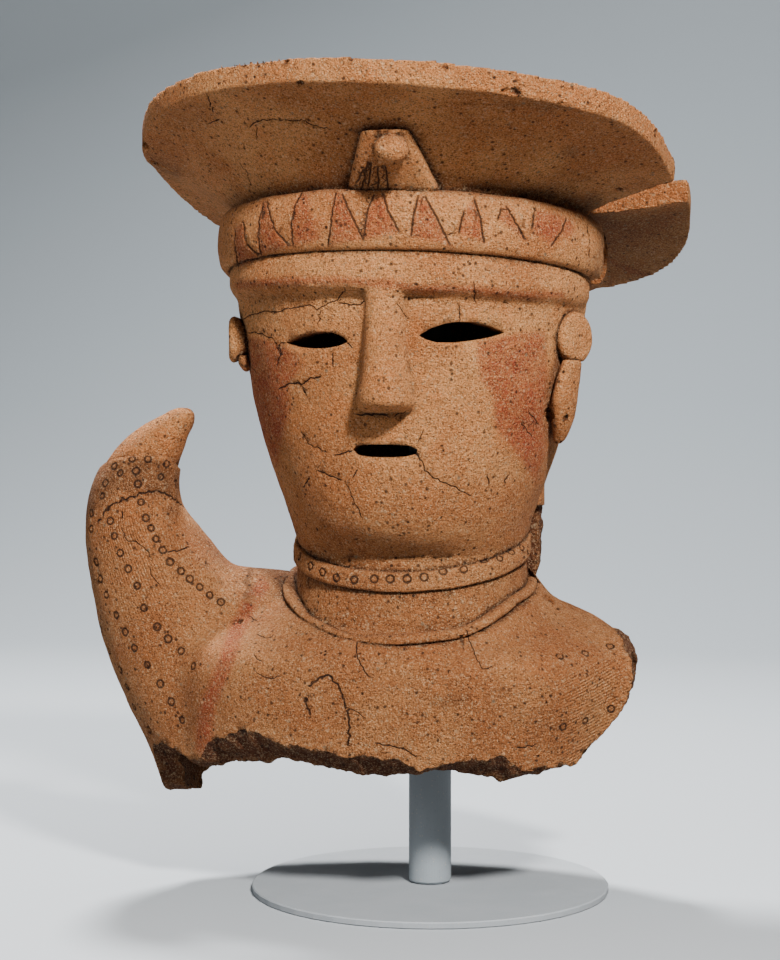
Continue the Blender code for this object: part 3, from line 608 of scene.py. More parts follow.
def board():
    """The hair board: a shallow flared dish, tipped up at the front and dropping behind."""
    thickness = BOARD_THICKNESS / UNIT
    flare = (0.0, 0.2, 0.4, 0.6, 0.8, 1.0)
    lower = {s: [] for s in flare}
    upper = {s: [] for s in flare}
    count = 2 * ROUND
    for k in range(count):
        # Anticlockwise seen from above, as loft wants it.
        bearing = 360.0 * k / count
        rim = curve_at(BOARD_OUTLINE, bearing if bearing <= 180 else bearing - 360)[0]
        edge = bearing_point(bearing, rim, 0.0)
        rim_z = curve_at(RIM_ROWS, edge[1])[0] + RIM_ROLL * (edge[0] - HEAD_X) - thickness / 2
        root = bearing_point(bearing, BOARD_ROOT_RADIUS, 0.0)
        root_z = BOARD_ROOT_HEIGHT + BOARD_ROOT_FALL * root[1]
        for s in flare:
            radius = BOARD_ROOT_RADIUS + (rim - BOARD_ROOT_RADIUS) * s
            rise = 0.5 * s + 0.5 * math.sin(s * math.pi / 2)
            z = root_z + (rim_z - root_z) * rise
            lower[s].append(place(*bearing_point(bearing, radius, z)))
            steep = math.atan2((rim_z - root_z), rim - BOARD_ROOT_RADIUS)
            lift = thickness / math.cos(steep * (1 - s) * 0.8)
            upper[s].append(place(*bearing_point(bearing, radius, z + lift)))
    core = [bearing_point(360.0 * k / count, BOARD_CORE_RADIUS, BOARD_CORE_FOOT) for k in range(count)]
    rings = [[place(*spot) for spot in core]]
    rings += [lower[s] for s in flare]
    rings += [upper[s] for s in reversed(flare)]
    for radius, drop in CROWN_ROWS:
        ring = []
        for k in range(count):
            bearing = 360.0 * k / count
            inner_z = (upper[0.0][k][2] - FIGURE_LIFT) / UNIT
            ring.append(place(*bearing_point(bearing, radius, CROWN_TOP + (inner_z - CROWN_TOP) * drop)))
        rings.append(ring)
    return loft("board", rings)


def face_radius(bearing, z):
    """Distance from the head's axis to its outer face."""
    width, front, back = curve_at(HEAD_ROWS, z)
    angle = math.radians(bearing)
    c, s = math.cos(angle), math.sin(angle)
    return 1 / math.hypot(s / width, c / (front if c > 0 else back))


def hair_band():
    """The rolled band round the head, under the board."""
    sections = []
    for k in range(180):
        bearing = 360.0 * k / 180
        foot = bearing_point(bearing, BAND_LEVEL_RADIUS, 0)
        z = BAND_HEIGHT + BAND_FALL * foot[1] + BAND_ROLL * (foot[0] - HEAD_X)
        radius = face_radius(bearing, z)
        sections.append([
            place(*bearing_point(bearing, radius + BAND_PROUD * c, z + BAND_HALF_HEIGHT * s))
            for c, s in circle(28, BAND_SQUARENESS, 0.85)
        ])
    return hoop("hair_band", sections)


def strip(name, ends, section_at, count):
    """A band between two bearings, closed at its ends."""
    return loft(name, [section_at(b) for b in np.linspace(ends[0], ends[1], count)])


def brow():
    """The ledge over the eyes, fading out to either side."""

    def section(bearing):
        fade = max(0.1, math.cos(math.radians(bearing / BROW_SPREAD_DEG * 90.0))) ** 0.4
        ridge = BROW_HEIGHT + BROW_ROLL * bearing_point(bearing, face_radius(bearing, BROW_HEIGHT), 0)[0]
        ring = []
        for rise, share in BROW_SECTION:
            z = ridge + rise
            out = BROW_PROUD * share * (fade if share > 0 else 1)
            ring.append(place(*bearing_point(bearing, face_radius(bearing, z) + out, z)))
        return ring

    return strip("brow", (-BROW_SPREAD_DEG, BROW_SPREAD_DEG), section, 90)


def choker():
    """The strip of stamped beads round the neck."""

    def section(bearing):
        y = -math.cos(math.radians(bearing)) * NECK_RADIUS
        middle = CHOKER_HEIGHT + CHOKER_RISE * y
        ring = []
        for c, s in circle(24, 0.5, 0.6):
            z = middle + CHOKER_HALF_HEIGHT * s
            ring.append(place(*bearing_point(bearing, curve_at(NECK_ROWS, z)[0] + CHOKER_PROUD * c, z)))
        return ring

    return strip("choker", CHOKER_ENDS_DEG, section, 160)


def collar():
    """The rolled edge of the robe round the foot of the neck."""
    sections = []
    for k in range(160):
        bearing = -180 + 360.0 * k / 160
        middle, reach = curve_at(COLLAR_ROWS, bearing)
        section = []
        for c, s in circle(20, 1.0, 0.7):
            radius = reach + 1 - COLLAR_DEPTH / 2 * (1 - c)
            section.append(place(*bearing_point(bearing, radius, middle - 1.5 + COLLAR_HALF_HEIGHT * s)))
        sections.append(section)
    return hoop("collar", sections)


def nose():
    """The wedge of the nose, set into the face."""
    rings = []
    for z, width, proud in reversed(curve_through(NOSE_ROWS, 40)):
        surface = face_radius(0, z)
        ring = []
        for c, s in circle(40, 1.0, 0.7):
            y = -surface + NOSE_ROOT + (proud + NOSE_ROOT) * min(0.0, s) + NOSE_BACK * max(0.0, s)
            ring.append(place(HEAD_X + width * c, y, z))
        rings.append(ring)
    return loft("nose", rings)


def frame_at(bearing, facing, z, stand):
    """Centre and axes of something that sits on the head: its outward and its sideways direction."""
    centre = np.array(bearing_point(bearing, face_radius(bearing, z) + stand, z))
    turn = math.radians(facing)
    outward = np.array((math.sin(turn), -math.cos(turn), 0.0))
    sideways = np.array((math.cos(turn), math.sin(turn), 0.0))
    return centre, outward, sideways


def ear_disc(sign):
    """The disc over an ear, to the left for 1 and to the right for -1."""
    facing, across_half, thickness, stand = LEFT_EAR if sign > 0 else RIGHT_EAR
    centre, outward, sideways = frame_at(sign * EAR_BEARING, sign * facing, EAR_HEIGHT, stand)
    rings = []
    front = thickness / 2
    for depth, share in ((-EAR_ROOT, 0.5), (-front, 0.92), (0.0, 1.0), (front - 1, 0.95), (front, 0.8)):
        rings.append([
            place(*(centre + outward * depth + across_half * share * (sideways * c + UP * s))) for c, s in circle(40)
        ])
    return loft("ear_disc", rings)


def pendant(sign):
    """What hangs under an ear disc."""
    rings = []
    rows = curve_through(LEFT_PENDANT if sign > 0 else RIGHT_PENDANT, 30)
    for z, along, width, thick, stand in reversed(rows):
        centre, outward, sideways = frame_at(sign * PENDANT_BEARING, sign * PENDANT_BEARING, z, stand)
        centre = centre + sideways * along * sign
        ring = [place(*(centre + sideways * width * c + outward * thick * s)) for c, s in circle(32)]
        rings.append(ring[::-1])
    return loft("pendant", rings)


def comb():
    """The comb, a slab on the front of the hair."""
    rings = []
    half = COMB_DEPTH / 2
    for z, width, out in curve_through(COMB_ROWS, 20):
        rings.append([place(COMB_X + width * c, -out + half + half * s, z) for c, s in circle(48, 0.5, 0.5)])
    return loft("comb", rings)


def ball(name, centre, size):
    """A ball of clay, given its half sizes."""
    bpy.ops.mesh.primitive_uv_sphere_add(segments=24, ring_count=14, radius=1.0)
    made = bpy.context.object
    made.name = name
    made.data.transform(made.matrix_world)
    for v in made.data.vertices:
        v.co = place(*(c + s * u for c, s, u in zip(centre, size, v.co)))
    return made


def nape():
    """The slab of hair down the nape."""
    rings = []
    for z, width, near, far in curve_through(NAPE_ROWS, 30):
        middle, half = (near + far) / 2, (far - near) / 2
        rings.append([place(NAPE_X + width * c, middle + half * s, z) for c, s in circle(24, 0.4, 0.4)])
    return loft("nape", rings)


def baked(obj):
    """The object with its modifiers applied."""
    graph = bpy.context.evaluated_depsgraph_get()
    mesh = bpy.data.meshes.new_from_object(obj.evaluated_get(graph))
    obj.modifiers.clear()
    obj.data = mesh
    return obj


def melted(name, pieces, voxel, smoothing):
    """Overlapping solids run together as wet clay is: one skin with soft joins."""
    points, polygons = [], []
    for piece in pieces:
        start = len(points)
        points += [tuple(v.co) for v in piece.data.vertices]
        polygons += [tuple(start + i for i in p.vertices) for p in piece.data.polygons]
        bpy.data.objects.remove(piece)
    made = new_object(name, points, polygons)
    remesh = made.modifiers.new("one skin", "REMESH")
    remesh.mode = "VOXEL"
    remesh.voxel_size = voxel
    smooth = made.modifiers.new("soft joins", "SMOOTH")
    smooth.factor = 0.5
    smooth.iterations = smoothing
    return baked(made)


def store(mesh, name, values):
    """Stores a number for each of a mesh's points, for the material to read."""
    layer = mesh.attributes.get(name) or mesh.attributes.new(name, "FLOAT", "POINT")
    layer.data.foreach_set("value", np.asarray(values, np.float32))


def points_of(mesh, what="co"):
    out = np.zeros(len(mesh.vertices) * 3)
    mesh.vertices.foreach_get(what, out)
    return out.reshape(-1, 3)


def normals_of(mesh):
    return points_of(mesh, "normal")


def set_points(mesh, points):
    mesh.vertices.foreach_set("co", points.ravel())
    mesh.update()


def triangles_of(mesh):
    mesh.calc_loop_triangles()
    corners = np.zeros(len(mesh.loop_triangles) * 3, np.int32)
    owners = np.zeros(len(mesh.loop_triangles), np.int32)
    mesh.loop_triangles.foreach_get("vertices", corners)
    mesh.loop_triangles.foreach_get("polygon_index", owners)
    return corners.reshape(-1, 3), owners


def seen_at(points):
    """Where points in metres fall in the photograph, in pixels."""
    away = np.asarray(points) - EYE
    depth = away @ AHEAD
    return np.stack([MIDDLE + FOCAL * (away @ RIGHT) / depth, HORIZON - FOCAL * (away @ UP) / depth], 1)


class Surface:
    """The clay's outer face, to find what lies behind a pixel or nearest to a point."""

    def __init__(self, mesh):
        triangles, _ = triangles_of(mesh)
        self.tree = BVHTree.FromPolygons(points_of(mesh).tolist(), triangles.tolist())

    def behind(self, u, v):
        ray = AHEAD * FOCAL + RIGHT * (u - MIDDLE) + UP * (HORIZON - v)
        spot, normal, _, _ = self.tree.ray_cast(Vector(EYE), Vector(ray).normalized())
        if spot is None:
            return None
        return np.array(spot), np.array(normal)

    def beside(self, u, v):
        """What lies behind a pixel, or the clay nearest to it if the pixel is just past the outline."""
        found = self.behind(u, v)
        if found:
            return found
        ray = AHEAD + RIGHT * (u - MIDDLE) / FOCAL + UP * (HORIZON - v) / FOCAL
        tries = [EYE + ray * depth for depth in np.arange(0.82, 1.09, 0.004)]
        nearest = min(tries, key=lambda spot: self.tree.find_nearest(Vector(spot))[3])
        return self.near(nearest)

    def near(self, point):
        spot, normal, _, _ = self.tree.find_nearest(Vector(point))
        return np.array(spot), np.array(normal)


def along(line, spacing):
    """Points evenly spaced on a line of straight pieces."""
    line = np.array(line, float)
    lengths = np.concatenate([[0], np.cumsum(np.linalg.norm(np.diff(line, axis=0), axis=1))])
    count = max(2, int(round(lengths[-1] / spacing)) + 1)
    at = np.linspace(0, lengths[-1], count)
    return np.stack([np.interp(at, lengths, line[:, k]) for k in range(line.shape[1])], 1)


def wandering(line, amount, seed):
    """A line whose middle strays a little from side to side, as a crack's does."""
    dice = np.random.RandomState(seed)
    drift = dice.normal(0, amount, (len(line), line.shape[1]))
    drift[1:-1] = (drift[:-2] + drift[1:-1] + drift[2:]) / 2
    drift[0] = drift[-1] = 0
    return line + drift


def noise_places(points, size, seed):
    """Where points in metres fall in a noise whose features have a size."""
    shift = Vector((seed * 7.3, seed * 3.1, seed * 5.7))
    return [Vector(p) / size + shift for p in points]


def lumps(points, size, seed):
    """Soft noise of about -1 to 1 at each point."""
    return np.array([noise.noise(spot) for spot in noise_places(points, size, seed)])


def rough(points, size, seed, octaves=4):
    """Noise with finer noise on it, of about -1 to 1 at each point."""
    return np.array([noise.fractal(spot, 1.0, 2.0, octaves) for spot in noise_places(points, size, seed)])


def from_segment(points, start, end):
    """Distance of flat points from a straight piece of line."""
    dx, dy = end - start
    x, y = points[:, 0] - start[0], points[:, 1] - start[1]
    t = np.clip((x * dx + y * dy) / (dx * dx + dy * dy + 1e-12), 0, 1)
    return np.hypot(x - t * dx, y - t * dy)


def signed_depth(points, outline):
    """How far inside a flat outline points lie, less than 0 outside it."""
    outline = np.array(outline, float)
    x, y = points[:, 0], points[:, 1]
    inside = np.zeros(len(points), bool)
    nearest = np.full(len(points), 1e9)
    for start, end in zip(outline, np.roll(outline, -1, 0)):
        (x0, y0), (x1, y1) = start, end
        inside ^= ((y0 > y) != (y1 > y)) & (x < x0 + (y - y0) * (x1 - x0) / ((y1 - y0) or 1e-9))
        nearest = np.minimum(nearest, from_segment(points, start, end))
    return np.where(inside, nearest, -nearest)


def beside_line(points, line):
    """Distance of flat points from a line."""
    line = np.array(line, float)
    return np.min([from_segment(points, start, end) for start, end in zip(line[:-1], line[1:])], axis=0)


def facing_out(obj):
    bm = bmesh.new()
    bm.from_mesh(obj.data)
    bmesh.ops.recalc_face_normals(bm, faces=bm.faces)
    bm.to_mesh(obj.data)
    bm.free()
    return obj


def uneven(obj, broad=0.00042, small=0.00024):
    """Leaves a form with a potter's unevenness."""
    points, normals = points_of(obj.data), normals_of(obj.data)
    lift = broad * lumps(points, 0.017, 1) + small * lumps(points, 0.0065, 2)
    set_points(obj.data, points + normals * lift[:, None])
    return obj


def eased_step(value):
    value = np.clip(value, 0, 1)
    return value * value * (3 - 2 * value)


def shaped_arm(obj):
    """Steps the bare forearm in above the sleeve's cuff, and squares the arm's broken tip."""
    points, normals = points_of(obj.data), normals_of(obj.data)
    u, v = seen_at(points).T
    on_arm = (points[:, 0] < -0.075) & (u < ARM_RIGHT) & (points[:, 2] > 0.13) & (v > ARM_TOP)
    above = eased_step((np.interp(u, *zip(*CUFF_EDGE)) - v) / 3.0) * on_arm
    points -= normals * (CUFF_STEP * above)[:, None]
    points[:, 0] += LEAN * eased_step((LEAN_FROM - v) / LEAN_RISE) * on_arm
    (u0, v0), (u1, v1) = ARM_TIP
    length = math.hypot(u1 - u0, v1 - v0)
    out = np.array((v1 - v0, u0 - u1)) / length
    u, v = seen_at(points).T
    beyond = np.maximum(0, (u - u0) * out[0] + (v - v0) * out[1]) * on_arm * (v < TIP_FOOT) * PIXEL
    set_points(obj.data, points - beyond[:, None] * (RIGHT * out[0] - UP * out[1]))
    return obj


def thinned(obj, faces=0, share=0.0):
    """The object with about as many triangles as are asked for, or with a share of them."""
    obj.data.calc_loop_triangles()
    thin = obj.modifiers.new("fewer faces", "DECIMATE")
    thin.ratio = share or min(1.0, faces / len(obj.data.loop_triangles))
    return baked(obj)


def combined(target, others, operation):
    """The target with other closed solids joined to it or cut out of it."""
    for other in others:
        step = target.modifiers.new(other.name, "BOOLEAN")
        step.operation = operation
        step.solver = "MANIFOLD"
        step.object = other
    baked(target)
    for other in others:
        bpy.data.objects.remove(other)
    return target


def applied_form(pieces, voxel, faces):
    """A form that the potter laid on the clay: its edges stay crisp where it meets the rest."""
    made = melted(pieces[0].name + "_form", pieces, voxel, 1)
    return thinned(uneven(made, 0.00035, 0.0002), faces)


def outer_form(voxel, faces):
    """The whole outer form: the body run together, then what is laid on it."""
    limbs = [limb("shoulder", *RIGHT_SHOULDER), limb("stump", *LEFT_STUMP)]
    body = melted("body", [robe(), arm(), *limbs], 0.003, 8)
    made = melted("haniwa_clay", [body, neck(), head(), board(), nape(), brow(), nose()], voxel, 2)
    made = thinned(uneven(shaped_arm(made)), faces)
    laid_on = [
        applied_form([hair_band()], 0.0011, 11000),
        applied_form([choker()], 0.0007, 6000),
        applied_form([collar()], 0.0010, 6000),
        applied_form([comb(), ball("comb_knob", COMB_KNOB, COMB_KNOB_SIZE)], 0.0008, 3500),
    ]
    for sign in (-1, 1):
        laid_on.append(applied_form([ear_disc(sign)], 0.0007, 2200))
        laid_on.append(applied_form([pendant(sign)], 0.0007, 2600))
    return combined(made, [facing_out(form) for form in laid_on], "UNION")


def creases(mesh, sizes):
    """The inner corners where one form meets another, as lines to press."""
    bm = bmesh.new()
    bm.from_mesh(mesh)
    lines = []
    for edge in bm.edges:
        if edge.is_manifold and not edge.is_convex and edge.calc_face_angle(0.0) > math.radians(24):
            ends = np.array([tuple(v.co) for v in edge.verts])
            if ends[:, 2].min() > 0.06 and 0.0002 < np.linalg.norm(ends[1] - ends[0]):
                lines.append((ends, sizes.seam_width / 2, sizes.seam_depth))
    bm.free()
    return lines


def hollow(wall):
    """The space inside the clay."""
    shrink = wall / UNIT
    sleeve = ARM_ROWS[:ARM_HOLLOW_ROWS]
    hollows = [
        head(shrink, CEILING), neck(shrink), robe(shrink), arm(shrink, sleeve),
        limb("shoulder_hollow", *RIGHT_SHOULDER, shrink=shrink),
        limb("stump_hollow", *LEFT_STUMP, shrink=shrink),
    ]
    made = melted("hollow", hollows, 0.0025, 4)
    points, normals = points_of(made.data), normals_of(made.data)
    # Coils and fingers leave low ridges round the inside.
    ridges = 0.0005 * np.sin(points[:, 2] / 0.0022 + 2 * lumps(points, 0.03, 5))
    ridges += 0.0006 * lumps(points, 0.012, 6)
    set_points(made.data, points + normals * ridges[:, None])
    return thinned(made, share=0.28)


def slot_cutter(name, outline, surface):
    """A slot cut through the face, square to it, whose outline is the photograph's."""
    closed = along([*outline, outline[0]], 2.0)[:-1]
    found = [surface.behind(u, v) for u, v in closed]
    spots = np.array([f[0] for f in found])
    inward = -np.mean([f[1] for f in found], 0)
    inward[2] = 0
    inward /= np.linalg.norm(inward)
    rings = [[tuple(p + inward * d) for p in spots] for d in (0.024, 0.012, 0.001, -0.012)]
    return loft(name, rings)


def bottom_break():
    """A cutter whose ragged top is the broken edge, higher at its outer edge, so that the break faces out."""
    shares = (1.5, 1.12, 1.04, 1.0, 0.965, 0.93, 0.895, 0.86, 0.82, 0.55, 0.05)
    bearings, *columns = zip(*BREAK_ROWS)
    rings = [[] for _ in range(len(shares) + 1)]
    for k in range(BREAK_STEPS):
        bearing = -180 + 360.0 * k / BREAK_STEPS
        outer, bevel = (float(np.interp(bearing, bearings, column)) for column in columns)
        turn = math.radians(bearing)
        waves = math.sin(9 * turn) + 0.7 * math.sin(23 * turn + 1) + 0.5 * math.sin(41 * turn + 2)
        ripple = BREAK_RIPPLE * waves
        for ring, s in zip(rings, (shares[0], *shares)):
            x = BREAK_CENTRE_X + s * BREAK_HALF_WIDTH * math.sin(turn)
            y = -s * BREAK_HALF_DEPTH * math.cos(turn)
            if ring is rings[0]:
                ring.append(place(x, y, BREAK_FLOOR))
                continue
            if s > 1.0:
                z = outer + ripple + bevel * min(1.0, (s - 1.0) / 0.12)
            else:
                z = outer + ripple - (bevel + ripple) * min(1.0, (1.0 - s) / 0.16)
            ring.append(place(x, y, z + BREAK_CHIPS * noise.fractal(Vector((x, y, 0)) / 5.0, 0.9, 2.0, 4)))
    return loft("bottom_break", rings)


def crag_cutter(name, outline, low, high, flat, amount, seed):
    """A cutter through an outline in plan or in front view, with a ragged wall."""
    edge = along([*outline, outline[0]], 1.5)[:-1]
    rings = []
    for level in np.arange(low, high + 2.0, 2.0):
        ring = []
        for a, b in edge:
            spot = Vector((a, b, level)) / 6.0 + Vector((seed, 0, 0))
            a += amount * noise.fractal(spot, 0.9, 2.0, 4)
            b += amount * noise.fractal(spot * 1.1 + Vector((9, 9, 9)), 0.9, 2.0, 4)
            ring.append(place(a, b, level) if flat else place(a, -level, b))
        rings.append(ring)
    return loft(name, rings)


def neck_hole():
    """A cutter for the break across the neck's left rear side."""
    near, far = NECK_HOLE_RADII
    corners = zip((*NECK_HOLE_DEG, *reversed(NECK_HOLE_DEG)), (near, near, far, far))
    outline = [bearing_point(bearing, radius, 0)[:2] for bearing, radius in corners]
    return crag_cutter("neck_hole", outline, *NECK_HOLE_HEIGHTS, True, 1.2, 3)


def bite(name, surface, pixel, radius, sink, seed):
    """A cutter for a chip: a rough lump sunk into the clay at a place in the photograph."""
    spot, normal = surface.beside(*pixel)
    bpy.ops.mesh.primitive_ico_sphere_add(subdivisions=3, radius=1.0)
    made = bpy.context.object
    made.name = name
    points = points_of(made.data)
    size = radius * (1 + 0.45 * rough(points, 0.9, seed, 4))
    centre = spot + normal * (radius - sink)
    set_points(made.data, centre + points * size[:, None])
    return made


def split_edges(points, faces, kinds, want):
    """Cuts every edge that is longer than it should be, once, and returns the new arrays."""
    number = len(points)
    pairs = np.sort(np.stack([faces, np.roll(faces, -1, 1)], 2).reshape(-1, 2), 1)
    keys, back = np.unique(pairs[:, 0].astype(np.int64) * number + pairs[:, 1], return_inverse=True)
    a, b = keys // number, keys % number
    middles = (points[a] + points[b]) / 2
    length = np.linalg.norm(points[a] - points[b], axis=1)
    edge_kind = np.zeros(len(keys), np.int32)
    np.maximum.at(edge_kind, back, np.repeat(kinds, 3))
    cut = length > 1.45 * want(middles, length, edge_kind)
    if not cut.any():
        return points, faces, kinds, False
    new = np.where(cut, number + np.cumsum(cut) - 1, -1)[back].reshape(-1, 3)
    points = np.vstack([points, middles[cut]])
    marked = (new >= 0).sum(1)
    out, out_kinds = [faces[marked == 0]], [kinds[marked == 0]]
    for n in (1, 2, 3):
        chosen = marked == n
        f, m, k = faces[chosen], new[chosen], kinds[chosen]
        if not len(f):
            continue
        if n < 3:
            start = np.argmax(m >= 0, 1) if n == 1 else (np.argmin(m >= 0, 1) + 1) % 3
            order = (start[:, None] + np.arange(3)) % 3
            f, m = np.take_along_axis(f, order, 1), np.take_along_axis(m, order, 1)
        if n == 1:
            parts = [(f[:, 0], m[:, 0], f[:, 2]), (m[:, 0], f[:, 1], f[:, 2])]
        elif n == 2:
            short = np.linalg.norm(points[f[:, 0]] - points[m[:, 1]], axis=1) < np.linalg.norm(
                points[m[:, 0]] - points[f[:, 2]], axis=1
            )
            parts = [
                (m[:, 0], f[:, 1], m[:, 1]),
                (f[:, 0], m[:, 0], np.where(short, m[:, 1], f[:, 2])),
                (np.where(short, f[:, 0], m[:, 0]), m[:, 1], f[:, 2]),
            ]
        else:
            parts = [
                (f[:, 0], m[:, 0], m[:, 2]), (m[:, 0], f[:, 1], m[:, 1]), (m[:, 2], m[:, 1], f[:, 2]),
                (m[:, 0], m[:, 1], m[:, 2]),
            ]
        for part in parts:
            out.append(np.stack(part, 1))
            out_kinds.append(k)
    return points, np.vstack(out), np.concatenate(out_kinds), True


def marks_object(name, lines):
    """Lines to be pressed into the clay, each (points, half width, depth), as edges with both on their points."""
    points, edges, widths, depths = [], [], [], []
    for line, width, depth in lines:
        start = len(points)
        points += list(line)
        edges += [(start + i, start + i + 1) for i in range(len(line) - 1)]
        fade = np.clip(np.minimum(np.arange(len(line)), np.arange(len(line))[::-1]) / 2.0 + 0.4, 0, 1)
        closed = len(line) == 2 or np.allclose(line[0], line[-1])
        widths += list(np.full(len(line), width) * (1 if closed else fade))
        depths += list(np.full(len(line), depth) * (1 if closed else fade))
    made = new_object(name, points, [], edges)
    store(made.data, "half_width", widths)
    store(made.data, "depth", depths)
    return made


def ring_line(spot, normal, radius, count=20):
    """A circle lying on the clay."""
    side = np.cross(normal, UP)
    side /= np.linalg.norm(side)
    up = np.cross(side, normal)
    turns = np.linspace(0, 2 * math.pi, count + 1)
    return np.array([spot + radius * (side * math.cos(t) + up * math.sin(t)) for t in turns])


def traced(surface, line, spacing, stray, seed):
    """A line of the photograph laid on the clay."""
    found = [surface.behind(u, v) for u, v in wandering(along(line, spacing), stray, seed)]
    spots = [f[0] for f in found if f is not None]
    kept = spots[:1]
    for spot in spots[1:]:
        if np.linalg.norm(spot - kept[-1]) < 0.006:
            kept.append(spot)
    return np.array(kept)


def ring_marks(surface, sizes, dice):
    """Rings on sleeve and shoulder, front and rear, and on the beads of the choker."""
    spots = []
    for pixels, middle in ((SLEEVE_RINGS, -0.002), (SHOULDER_RINGS, 0.0)):
        for spot, normal in filter(None, (surface.behind(u, v) for u, v in pixels)):
            spots += [(spot, normal), surface.near((spot[0], 2 * middle - spot[1], spot[2]))]
    kept = []
    for spot, normal in spots:
        if all(np.linalg.norm(spot - other) > RING_GAP * sizes.ring_diameter for other, _ in kept):
            kept.append((spot, normal))
    made = []
    for spot, normal in kept:
        line = ring_line(spot, normal, sizes.ring_diameter / 2 * dice.uniform(0.9, 1.1))
        made.append((line, sizes.groove_width / 2, sizes.ring_depth * dice.uniform(0.7, 1.15)))
    beads = [surface.behind(u, v) for u, v in BEAD_RINGS]
    for bearing in HIDDEN_BEAD_BEARINGS:
        z = CHOKER_HEIGHT - CHOKER_RISE * NECK_RADIUS * math.cos(math.radians(bearing))
        aim = np.array(place(*bearing_point(bearing, 57, z)))
        spot, normal = surface.near(aim)
        apart = min(np.linalg.norm(spot - other) for other, _ in beads[: len(BEAD_RINGS)])
        if np.linalg.norm(spot - aim) < 0.006 and apart > RING_GAP * sizes.bead_ring_diameter:
            beads.append((spot, normal))
    radius = sizes.bead_ring_diameter / 2
    return made + [(ring_line(*bead, radius), sizes.groove_width / 2, sizes.ring_depth) for bead in beads]


def stroke_marks(surface, sizes):
    """Strokes in the hair band, with pairs that lean together behind, and in the comb."""
    half, depth = sizes.stroke_width / 2, sizes.stroke_depth
    made = [(traced(surface, line, 1.5, 0.3, 20 + i), half, depth) for i, line in enumerate(BAND_STROKES)]
    for bearing in np.linspace(*BAND_BEHIND_DEG, BAND_STROKES_BEHIND):
        for lean in (-3.4, 3.4):
            line = []
            for rise in np.linspace(10, -11, 16):
                at = bearing + lean * (1 - (rise + 11) / 24.0)
                z = BAND_HEIGHT + BAND_FALL * bearing_point(at, BAND_LEVEL_RADIUS, 0)[1] + rise
                line.append(surface.near(place(*bearing_point(at, 88, z)))[0])
            made.append((np.array(line), half, depth))
    for i, line in enumerate(COMB_STROKES):
        made.append((traced(surface, line, 1.5, 0.3, 50 + i), sizes.stroke_width / 2.3, depth))
    return made


def crack_marks(surface, sizes, dice):
    """The cracks that the photograph shows, and a few behind."""
    made = []
    for i, line in enumerate(CRACKS):
        half = sizes.crack_width / 2 * dice.uniform(0.7, 1.2)
        made.append((traced(surface, line, 1.2, 0.6, 100 + i), half, sizes.crack_depth * dice.uniform(0.8, 1.2)))
    for i, line in enumerate(WIDE_CRACKS):
        made.append((traced(surface, line, 1.2, 0.9, 300 + i), sizes.crack_width * 0.75, sizes.crack_depth * 1.5))
    return made + hidden_cracks(surface, sizes)


def pit_marks(surface, dice):
    """The pits that the photograph shows, and small ones all over."""
    made = []
    for (u, v), radius, depth in PITS:
        found = surface.behind(u, v)
        if found:
            made.append((pit_line(*found), radius * PIXEL, depth * PIXEL))
    for found in scattered(surface, 160, 7):
        radius = dice.uniform(0.0005, 0.0012)
        made.append((pit_line(*found), radius, radius * 0.7))
    return made


def all_marks(surface, sizes):
    """What is pressed into the clay, in front and behind, each kind as lines with a half width and a depth."""
    dice = np.random.RandomState(11)
    marks = {
        "rings": ring_marks(surface, sizes, dice),
        "strokes": stroke_marks(surface, sizes),
        "cracks": crack_marks(surface, sizes, dice),
        "pits": pit_marks(surface, dice),
    }
    return {name: [line for line in lines if len(line[0]) > 1] for name, lines in marks.items()}


def pit_line(spot, normal):
    side = np.cross(normal, UP)
    side /= max(1e-6, np.linalg.norm(side))
    return np.array([spot - side * 0.00015, spot, spot + side * 0.00015])


def scattered(surface, number, seed):
    """Spots spread over the outer face from all round."""
    dice = np.random.RandomState(seed)
    found = []
    while len(found) < number:
        direction = dice.normal(0, 1, 3)
        direction /= np.linalg.norm(direction)
        target = np.array((dice.uniform(-0.13, 0.09), dice.uniform(-0.05, 0.05), dice.uniform(0.07, 0.34)))
        spot, normal, _, _ = surface.tree.ray_cast(Vector(target + direction * 0.5), Vector(-direction))
        if spot is not None and spot.z > 0.062:
            found.append((np.array(spot), np.array(normal)))
    return found


def hidden_cracks(surface, sizes):
    """A few short cracks on the sides that the photograph doesn't show."""
    dice = np.random.RandomState(23)
    made = []
    for spot, _ in scattered(surface, 60, 31):
        if spot[1] < 0.012 or seen_from_front(surface, spot):
            continue
        line = [spot]
        heading = dice.normal(0, 1, 3)
        for _ in range(int(dice.uniform(10, 26))):
            heading = heading + dice.normal(0, 0.35, 3)
            heading /= np.linalg.norm(heading)
            line.append(surface.near(line[-1] + heading * 0.0006)[0])
        made.append((np.array(line), sizes.crack_width / 2, sizes.crack_depth))
    return made


def seen_from_front(surface, spot):
    away = spot - EYE
    reach = np.linalg.norm(away)
    _, _, _, distance = surface.tree.ray_cast(Vector(EYE), Vector(away / reach))
    return distance is not None and distance > reach - 0.004


